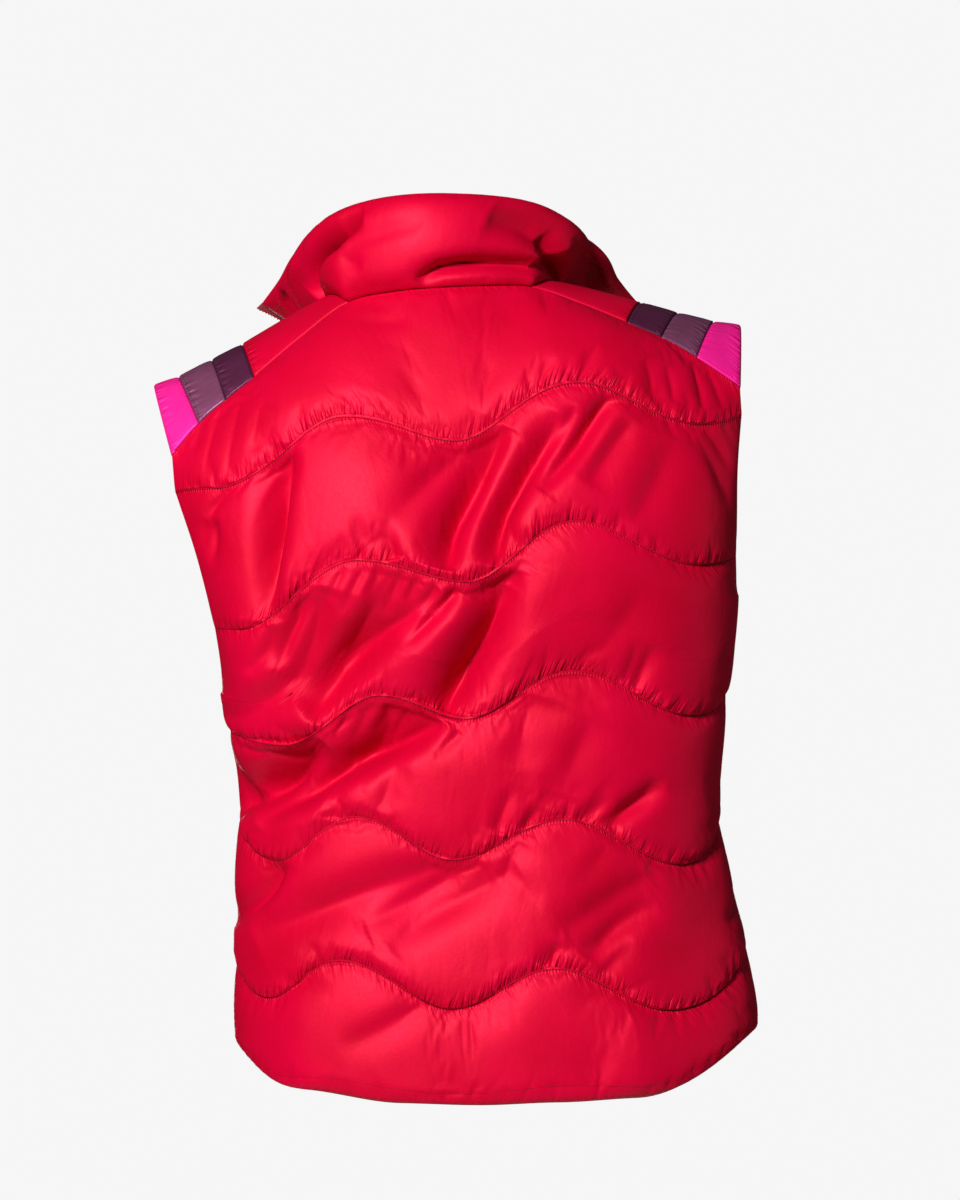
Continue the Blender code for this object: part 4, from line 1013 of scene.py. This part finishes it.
def one_stitch():
    """A short length of thread that dips into the cloth at both ends, lying along X."""
    bm = bmesh.new()
    bmesh.ops.create_uvsphere(bm, u_segments=5, v_segments=4, radius=0.5)
    bmesh.ops.rotate(bm, matrix=Matrix.Rotation(math.pi / 2, 3, "Y"), verts=bm.verts)
    bmesh.ops.scale(bm, vec=(STITCH, THREAD * 1.2, THREAD), verts=bm.verts)
    mesh = bpy.data.meshes.new("one_stitch")
    bm.to_mesh(mesh)
    bm.free()
    return mesh


def evenly(points, outs, pitch):
    """Frames at even steps along a path: X along it, Z away from the cloth."""
    run = run_along(points)
    frames = []
    for k in range(int((run[-1] - 0.003) / pitch)):
        at = 0.0015 + (k + 0.5) * pitch
        here, ahead = (Vector([np.interp(a, run, points[:, i]) for i in range(3)])
                       for a in (at, at + pitch * 0.4))
        away = Vector([np.interp(at, run, outs[:, i]) for i in range(3)])
        along = (ahead - here).normalized()
        away = (away - along * away.dot(along)).normalized()
        turn = Matrix((along, away.cross(along), away)).transposed().to_4x4()
        frames.append(Matrix.Translation(here) @ turn)
    return frames


def repeated(name, shape, frames, material):
    """One mesh of many copies of a small shape."""
    bm = bmesh.new()
    for frame_at in frames:
        shape.transform(frame_at)
        bm.from_mesh(shape)
        shape.transform(frame_at.inverted())
    return finished(name, bm, material)


def sewn_at(panel, place):
    """Frames of the stitches in a panel's outer skin, along one of its rows or columns."""
    out = panel["out"][place]
    return evenly(panel["outer"][place] + out * THREAD_LIFT, out, STITCH_PITCH)


def nearest(values, value):
    """Number of the row or column that lies nearest to a value."""
    return int(np.argmin(np.abs(values - value)))


stitch = one_stitch()
# Red thread: partly its own colour, partly darkened as painted seam shade
red_thread = thread("red_polyester_thread", "#A00020")
for name, panel in (("back_panel", back), ("front_left", fronts["left"]),
                    ("front_right", fronts["right"])):
    frames = []
    for mark in [panel["hem"]] + panel["marks"][1:-1]:
        frames += sewn_at(panel, mark)
    wide = panel["width"][0]
    if name == "front_left":
        frames += sewn_at(panel, np.s_[:, nearest(wide, FRONT_STITCHING)])
    if name == "front_right":
        frames += sewn_at(panel, np.s_[:, nearest(wide, wide[-1] - FRONT_STITCHING)])
    piece = repeated(name + "_stitches", stitch, frames, red_thread)
    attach(piece, "garment")
threads = {"red": red_thread}
for band, colour in (("magenta", "#C80070"), ("mauve", "#54305A"), ("plum", "#2C1430")):
    threads[band] = thread(band + "_polyester_thread", colour)
for (side, band), panel in strips.items():
    wide, tall = panel["width"][0], panel["height"][:, 0]
    frames = []
    for at in (END_STITCHING, wide[-1] - END_STITCHING):
        frames += sewn_at(panel, np.s_[:, nearest(wide, at)])
    if band in ("mauve", "red"):
        frames += sewn_at(panel, nearest(tall, BAND_STITCHING))
    if band == "plum":
        frames += sewn_at(panel, nearest(tall, tall[-1] - PLUM_STITCHING))
    piece = repeated("shoulder_%s_%s_stitches" % (side, band), stitch, frames, threads[band])
    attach(piece, "garment")

# ---------------------------------------------------------------------------------------
# Zip: a woven tape sewn along each open front and up the collar's end, with a row of
# moulded teeth on its free edge. Each tape starts a little above the hem.
TAPE_GAP = 0.0006       # between a front's edge and the tape
TAPE_WIDTH = 0.0110     # from the front's edge to the tape's outer edge, over its teeth
TAPE_FLAT = 0.0102      # the cloth alone
TAPE_THICK = 0.0011
TAPE_END = 0.0180       # height of the tape's end above the hem
BEAD_WIDTH = 0.0030
BEAD_THICK = 0.0034
TOOTH = (0.0034, 0.0016, 0.0032)    # across the tape, along it, and through it
TOOTH_PITCH = 0.0029
SLIDER_UP = 0.0150      # slider's middle above the tape's end


def softened(values, reach=9):
    """Directions along a path, averaged over their neighbours."""
    kernel = np.hanning(2 * reach + 1)
    wide = np.pad(values, ((reach, reach), (0, 0)), mode="edge")
    return unit(np.stack([np.convolve(wide[:, i], kernel, "valid") for i in range(3)], axis=-1))


def zip_path(side):
    """Places along a front's open edge and the collar's end, each with its direction
    away from the front, upward and outward, and its distance above the tape's end."""
    left = side == "left"
    grid = left_grid if left else right_grid
    ends = grid(np.array([0.0 if left else 1.0]), np.array([0.0, 1.0]))[:, 0]
    start = TAPE_END / np.linalg.norm(ends[1] - ends[0])
    edge, column = (np.array([0, 0.01]), 0) if left else (np.array([0.99, 1]), -1)
    front = measured(grid, edge, np.linspace(start, 6, 280), [start, 6], FRONT_LEVEL)
    end = measured(collar_grid, edge, np.linspace(0.02, 1, 50), [0, 1])
    here = np.concatenate([front["place"][:, column], end["place"][:, column]])
    out = softened(np.concatenate([front["out"][:, column], end["out"][:, column]]))
    rise = softened(np.gradient(here, axis=0), 4)
    away = unit(np.cross(rise, out) * (-1 if left else 1))
    return here, away, rise, out, run_along(here)


def zip_tape_weave():
    """Ribbed polyester tape: close ribs across it over a diagonal twill, matt with a little
    fuzz."""
    made, tree, shader = principled("woven_zip_tape")
    cloth = add(tree, "UVMap", {"uv_map": "cloth"})
    ribs = add(tree, "TexWave", {"Vector": cloth, "bands_direction": "Y",
               "Scale": BAND_PERIOD / 0.0009, "Distortion": 0.4}).outputs["Fac"]
    twill = add(tree, "TexWave", {"Vector": cloth, "bands_direction": "DIAGONAL",
                "Scale": BAND_PERIOD / 0.0016, "Distortion": 0.3}).outputs["Fac"]
    both = add(tree, "Math", {"operation": "MULTIPLY_ADD", 0: twill, 1: 0.6, 2: ribs})
    shade = add(tree, "Math", {"operation": "MULTIPLY", 0: both, 1: 0.6})
    dye = add(tree, "ValToRGB", {"Fac": shade, "stops": ((0, linear("#6E0012")),
                                                         (1, linear("#A8001C")))})
    bump = add(tree, "Bump", {"Height": both, "Strength": 0.5, "Distance": 0.0002})
    feed(tree, shader, {"Base Color": dye, "Normal": bump, "Roughness": 0.75,
                        "Sheen Weight": 0.2, "Specular IOR Level": 0.2})
    return made


def acetal():
    """Moulded acetal zip teeth: hard satin plastic with a faint orange peel, which is drawn
    at 1 mm, coarser than the real one, so that it shows."""
    made, tree, shader = principled("moulded_acetal")
    spot = add(tree, "TexCoord").outputs["Object"]
    peel = add(tree, "TexNoise", {"Vector": spot, "Scale": 900.0, "Detail": 2.0})
    tint = add(tree, "ValToRGB", {"Fac": peel, "stops": ((0, linear("#8E0016")),
                                                         (1, linear("#B20020")))})
    bump = add(tree, "Bump", {"Height": peel, "Strength": 0.3, "Distance": 0.0001})
    feed(tree, shader, {"Base Color": tint, "Normal": bump, "Roughness": 0.40,
                        "Specular IOR Level": 0.15})
    return made


def one_tooth():
    """A moulded tooth: a block wrapped round the tape's edge with a narrower head. X points
    away from the cloth, Z outward, Y up the tape."""
    bm = bmesh.new()
    bmesh.ops.create_cube(bm, size=1.0)
    bmesh.ops.scale(bm, vec=TOOTH, verts=bm.verts)
    tip = [v for v in bm.verts if v.co.x > 0]
    bmesh.ops.scale(bm, vec=(1, 0.72, 0.80), verts=tip)
    bmesh.ops.bevel(bm, geom=bm.edges, offset=0.0003, segments=1, affect="EDGES",
                    profile=0.5, material=-1)
    mesh = bpy.data.meshes.new("one_tooth")
    bm.to_mesh(mesh)
    bm.free()
    return mesh


tape_cloth = zip_tape_weave()
tooth_plastic = acetal()
tooth = one_tooth()
zips = {}
for side in ("left", "right"):
    here, away, rise, out, run = zip_path(side)
    zips[side] = (here, away, rise, out, run)
    across = np.array([0.0, 0.0008, 0.0030, 0.0055, 0.0080, 0.0095, TAPE_FLAT]) + TAPE_GAP
    across = across if side == "right" else across[::-1]
    place = here[:, None] + away[:, None] * across[None, :, None]
    lift = np.broadcast_to(out[:, None], place.shape) * (TAPE_THICK / 2)
    piece = flat_wall("zip_tape_%s_cloth" % side, place, lift, across, run, tape_cloth)
    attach(piece, "garment")
    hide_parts("zip_tape_" + side)
    bead = here + away * (TAPE_WIDTH - BEAD_WIDTH / 2)
    frames = []
    for turn in evenly(bead, out, TOOTH_PITCH):
        up, outward = turn.col[0].to_3d(), turn.col[2].to_3d()
        sideways = up.cross(outward)
        if side == "left":
            sideways = -sideways
        straight = Matrix((sideways, up, outward)).transposed().to_4x4()
        frames.append(Matrix.Translation(turn.translation) @ straight)
    piece = repeated("zip_teeth_" + side, tooth, frames, tooth_plastic)
    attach(piece, "garment")

# ---------------------------------------------------------------------------------------
# Zip slider, pull tab, box and pin: die-cast zinc with a brushed nickel finish. The slider
# waits at the foot of the left tape, and its tab hangs from the bridge across its face.
joint = frame["joints"][0]
hinge = Vector(joint["pos_m"])
hinge_axis = Vector(joint["axis"]).normalized()
FACE = BEAD_THICK / 2 + 0.0004      # from the middle of the teeth to the slider's plates
PLATE = 0.0012
BRIDGE = 0.0046                     # height of the bridge over the plate
BRIDGE_FOOT = 0.0034                # half the bridge's length
SLIDER = (0.0112, 0.0125)           # width and length of its plates
BAR_GAP = 0.0017                    # from the slider's face to the tab's turning axis
TAB_WIDTH = 0.0080
TAB_THICK = 0.0014


def brushed_nickel():
    """Brushed nickel on die-cast zinc: scratches up and down it, 0.25 mm apart and 5 mm long,
    catch the light."""
    made, tree, shader = principled("brushed_nickel")
    spot = add(tree, "TexCoord").outputs["Object"]
    drawn = add(tree, "Mapping", {"Vector": spot, "Scale": (4000.0, 4000.0, 180.0)})
    scratch = add(tree, "TexNoise", {"Vector": drawn, "Scale": 1.0, "Detail": 3.0})
    tint = add(tree, "ValToRGB", {"Fac": scratch, "stops": ((0, linear("#9A9BA0")),
                                                            (1, linear("#C9CACC")))})
    rough = add(tree, "MapRange", {"Value": scratch, "To Min": 0.26, "To Max": 0.44})
    bump = add(tree, "Bump", {"Height": scratch, "Strength": 0.25, "Distance": 0.00005})
    feed(tree, shader, {"Base Color": tint, "Normal": bump, "Roughness": rough,
                        "Metallic": 1.0})
    return made


def zip_place(side, along):
    """Frame in the middle of the teeth, that far above the tape's end: X away from the
    front on the left one and towards it on the right, Y outward, Z up."""
    here, away, rise, out, run = zips[side]
    at, aside, up, front = ([np.interp(along, run, v[:, i]) for i in range(3)]
                            for v in (here, away, rise, out))
    middle = Vector(at) + Vector(aside) * (TAPE_WIDTH - BEAD_WIDTH / 2)
    across = Vector(aside) if side == "left" else -Vector(aside)
    turn = Matrix((across.normalized(), Vector(front).normalized(), Vector(up).normalized()))
    return Matrix.Translation(middle) @ turn.transposed().to_4x4()


def bar(bm, size, centre, taper=1.0, rounding=0.0003):
    """Add a block with rounded edges to a mesh; taper narrows its lower end."""
    made = bmesh.ops.create_cube(bm, size=1.0)["verts"]
    bmesh.ops.scale(bm, vec=size, verts=made)
    low = [v for v in made if v.co.z < 0]
    bmesh.ops.scale(bm, vec=(taper, 1, 1), verts=low)
    bmesh.ops.translate(bm, vec=centre, verts=made)
    edges = list({edge for v in made for edge in v.link_edges})
    bmesh.ops.bevel(bm, geom=edges, offset=rounding, segments=2, affect="EDGES",
                    profile=0.5, material=-1)


def bridge(bm, foot, high, base):
    """Add the arch across a slider's face, from foot above its middle to foot below."""
    arch = bmesh.new()
    made = bmesh.ops.create_grid(arch, x_segments=1, y_segments=1, size=0.5)["verts"]
    bmesh.ops.scale(arch, vec=(0.0020, 0.0011, 1), verts=made)
    bmesh.ops.rotate(arch, matrix=Matrix.Rotation(math.pi / 2, 3, "X"), verts=made)
    bmesh.ops.translate(arch, vec=(0, 0, foot), verts=made)
    bmesh.ops.spin(arch, geom=arch.verts[:] + arch.edges[:] + arch.faces[:], cent=(0, 0, 0),
                   axis=(1, 0, 0), angle=-math.pi, steps=14)
    bmesh.ops.holes_fill(arch, edges=[e for e in arch.edges if e.is_boundary])
    bmesh.ops.scale(arch, vec=(1, high / foot, 1), verts=arch.verts)
    bmesh.ops.translate(arch, vec=(0, base, 0), verts=arch.verts)
    bmesh.ops.recalc_face_normals(arch, faces=arch.faces)
    mesh = bpy.data.meshes.new("arch")
    arch.to_mesh(mesh)
    arch.free()
    bm.from_mesh(mesh)
    bpy.data.meshes.remove(mesh)


nickel = brushed_nickel()
outer_face = FACE + PLATE
up = zip_place("left", SLIDER_UP).col[2].to_3d()
up = (up - hinge_axis * up.dot(hinge_axis)).normalized()
forward = up.cross(hinge_axis)
slider_at = Matrix((hinge_axis, forward, up)).transposed().to_4x4()
slider_at.translation = hinge - forward * (outer_face + BAR_GAP)
bm = bmesh.new()
for side in (1, -1):
    bar(bm, (SLIDER[0], PLATE, SLIDER[1]), (0, side * (FACE + PLATE / 2), 0), 0.74, 0.0004)
bar(bm, (0.0020, 2 * FACE + PLATE, 0.0056), (0.0007, 0, 0.0033))
bridge(bm, BRIDGE_FOOT, BRIDGE, outer_face - 0.0002)
bm.transform(slider_at)
piece = finished("zip_slider_metal", bm, nickel)
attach(piece, "garment")
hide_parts("zip_slider")

# The tab: stamped flat, with a window that hooks under the bridge and a sunk grip
TAB_ROWS = (-0.0273, -0.0210, -0.0120, -0.0063, -0.0035, -0.0007, 0.0007)
bm = bmesh.new()
bmesh.ops.create_grid(bm, x_segments=3, y_segments=6, size=0.5)
for v in bm.verts:
    row, column = round((v.co.y + 0.5) * 6), round((v.co.x + 0.5) * 3)
    half = TAB_WIDTH / 2 * (1.0 if row < 3 else 0.82)
    v.co = ((-half, -0.0017, 0.0017, half)[column], 0, TAB_ROWS[row])
window = [f for f in bm.faces
          if abs(f.calc_center_median().x) < 0.001
          and TAB_ROWS[3] < f.calc_center_median().z < TAB_ROWS[5]]
bmesh.ops.delete(bm, geom=window, context="FACES")
thick = bmesh.ops.extrude_face_region(bm, geom=bm.faces[:], use_keep_orig=True)["geom"]
front = [v for v in thick if isinstance(v, bmesh.types.BMVert)]
bmesh.ops.translate(bm, vec=(0, TAB_THICK, 0), verts=front)
bmesh.ops.translate(bm, vec=(0, -TAB_THICK / 2, 0), verts=bm.verts)
bmesh.ops.recalc_face_normals(bm, faces=bm.faces)
grip = [f for f in bm.faces if abs(f.normal.y) > 0.9 and f.calc_center_median().z < -0.0130]
for way in (1, -1):
    faces = [f for f in grip if f.normal.y * way > 0]
    bmesh.ops.inset_region(bm, faces=faces, thickness=0.0013, depth=-0.00028)
corners = [e for e in bm.edges if abs(e.verts[0].co.z - TAB_ROWS[0]) < 1e-5
           and abs(e.verts[1].co.z - TAB_ROWS[0]) < 1e-5
           and abs(e.verts[0].co.x - e.verts[1].co.x) < 1e-6 and abs(e.verts[0].co.x) > 0.003]
bmesh.ops.bevel(bm, geom=corners, offset=0.0022, segments=5, affect="EDGES", profile=0.5,
                material=-1)
rim = [e for e in bm.edges if len(e.link_faces) == 2 and e.calc_face_angle(0) > 0.8]
bmesh.ops.bevel(bm, geom=rim, offset=0.00018, segments=2, affect="EDGES", profile=0.5,
                material=-1)
down = Vector((0, 0, -1))
down = (down - hinge_axis * down.dot(hinge_axis)).normalized()
hang = Matrix((hinge_axis, hinge_axis.cross(down), -down)).transposed().to_4x4()
bm.transform(Matrix.Translation(hinge) @ hang)
piece = finished("zip_pull_tab_metal", bm, nickel)
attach(piece, "pull_tab")
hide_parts("zip_pull_tab")

# The box that the pin slips into, and the pin itself
bm = bmesh.new()
bar(bm, (0.0064, 0.0044, 0.0080), (0.0006, 0, -0.0042), 1.0, 0.0006)
bar(bm, (0.0034, 0.0046, 0.0048), (0.0006, 0, -0.0044), 1.0, 0.0003)
bm.transform(zip_place("left", 0.0))
piece = finished("zip_box_metal", bm, nickel)
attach(piece, "garment")
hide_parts("zip_box")
bm = bmesh.new()
bar(bm, (0.0020, 0.0022, 0.0100), (0, 0, -0.0052), 0.8, 0.0005)
bm.transform(zip_place("right", 0.0))
piece = finished("zip_pin_metal", bm, nickel)
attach(piece, "garment")
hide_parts("zip_pin")

# ---------------------------------------------------------------------------------------
# Studio: a pale floor far below the worn vest, a soft key light above and on the camera's
# left, a low soft light on the open front, a weak fill, and the camera level with the back.
CAMERA_PLACE = (-0.02025, 2.80, -0.243)
SENSOR = 36.0
IMAGE_HEIGHT = 0.972        # seen at the distance below
IMAGE_DISTANCE = 2.75
FLOOR_HEIGHT = -1.60
AIM = Vector((0, 0, -0.3))

bm = bmesh.new()
bmesh.ops.create_grid(bm, x_segments=2, y_segments=2, size=1.2)
bmesh.ops.translate(bm, vec=(0, 0, FLOOR_HEIGHT), verts=bm.verts)
mesh = bpy.data.meshes.new("studio_floor")
bm.to_mesh(mesh)
bm.free()
paper, tree, shader = principled("pale_matt_paper")
feed(tree, shader, {"Base Color": linear("#E2E1DF"), "Roughness": 0.9})
mesh.materials.append(paper)
floor = bpy.data.objects.new("studio_floor", mesh)
bpy.context.scene.collection.objects.link(floor)


def softbox(name, place, size, power):
    """A square area light aimed at the middle of the vest."""
    lamp = bpy.data.lights.new(name, "AREA")
    lamp.shape = "SQUARE"
    lamp.size = size
    lamp.energy = power
    made = bpy.data.objects.new(name, lamp)
    made.location = place
    made.rotation_euler = (AIM - Vector(place)).to_track_quat("-Z", "Y").to_euler()
    made.visible_camera = False
    bpy.context.scene.collection.objects.link(made)


softbox("key_light", (1.21, 2.85, 0.95), 0.7, 194)
softbox("front_light", (0.1, -3.0, -0.9), 1.6, 70)
softbox("fill_light", (-2.6, 0.3, -0.2), 1.2, 6)

world = bpy.data.worlds.new("studio_air")
bpy.context.scene.world = world
world.use_nodes = True
air = world.node_tree
glow = feed(air, air.nodes["Background"], {"Color": linear("#F4F6FA"), "Strength": 0.04})
seen = add(air, "Background", {"Color": linear("#F6F6F6"), "Strength": 1.0})
ray = add(air, "LightPath").outputs["Is Camera Ray"]
sky = add(air, "MixShader", {0: ray, 1: glow, 2: seen})
feed(air, air.nodes["World Output"], {"Surface": sky})
bpy.context.scene.view_settings.view_transform = "Standard"

lens = bpy.data.cameras.new("camera")
lens.sensor_fit = "VERTICAL"
lens.sensor_height = SENSOR
lens.lens = SENSOR * IMAGE_DISTANCE / IMAGE_HEIGHT
camera = bpy.data.objects.new("camera", lens)
camera.location = CAMERA_PLACE
camera.rotation_euler = Vector((0, -1, 0)).to_track_quat("-Z", "Y").to_euler()
bpy.context.scene.collection.objects.link(camera)
bpy.context.scene.camera = camera
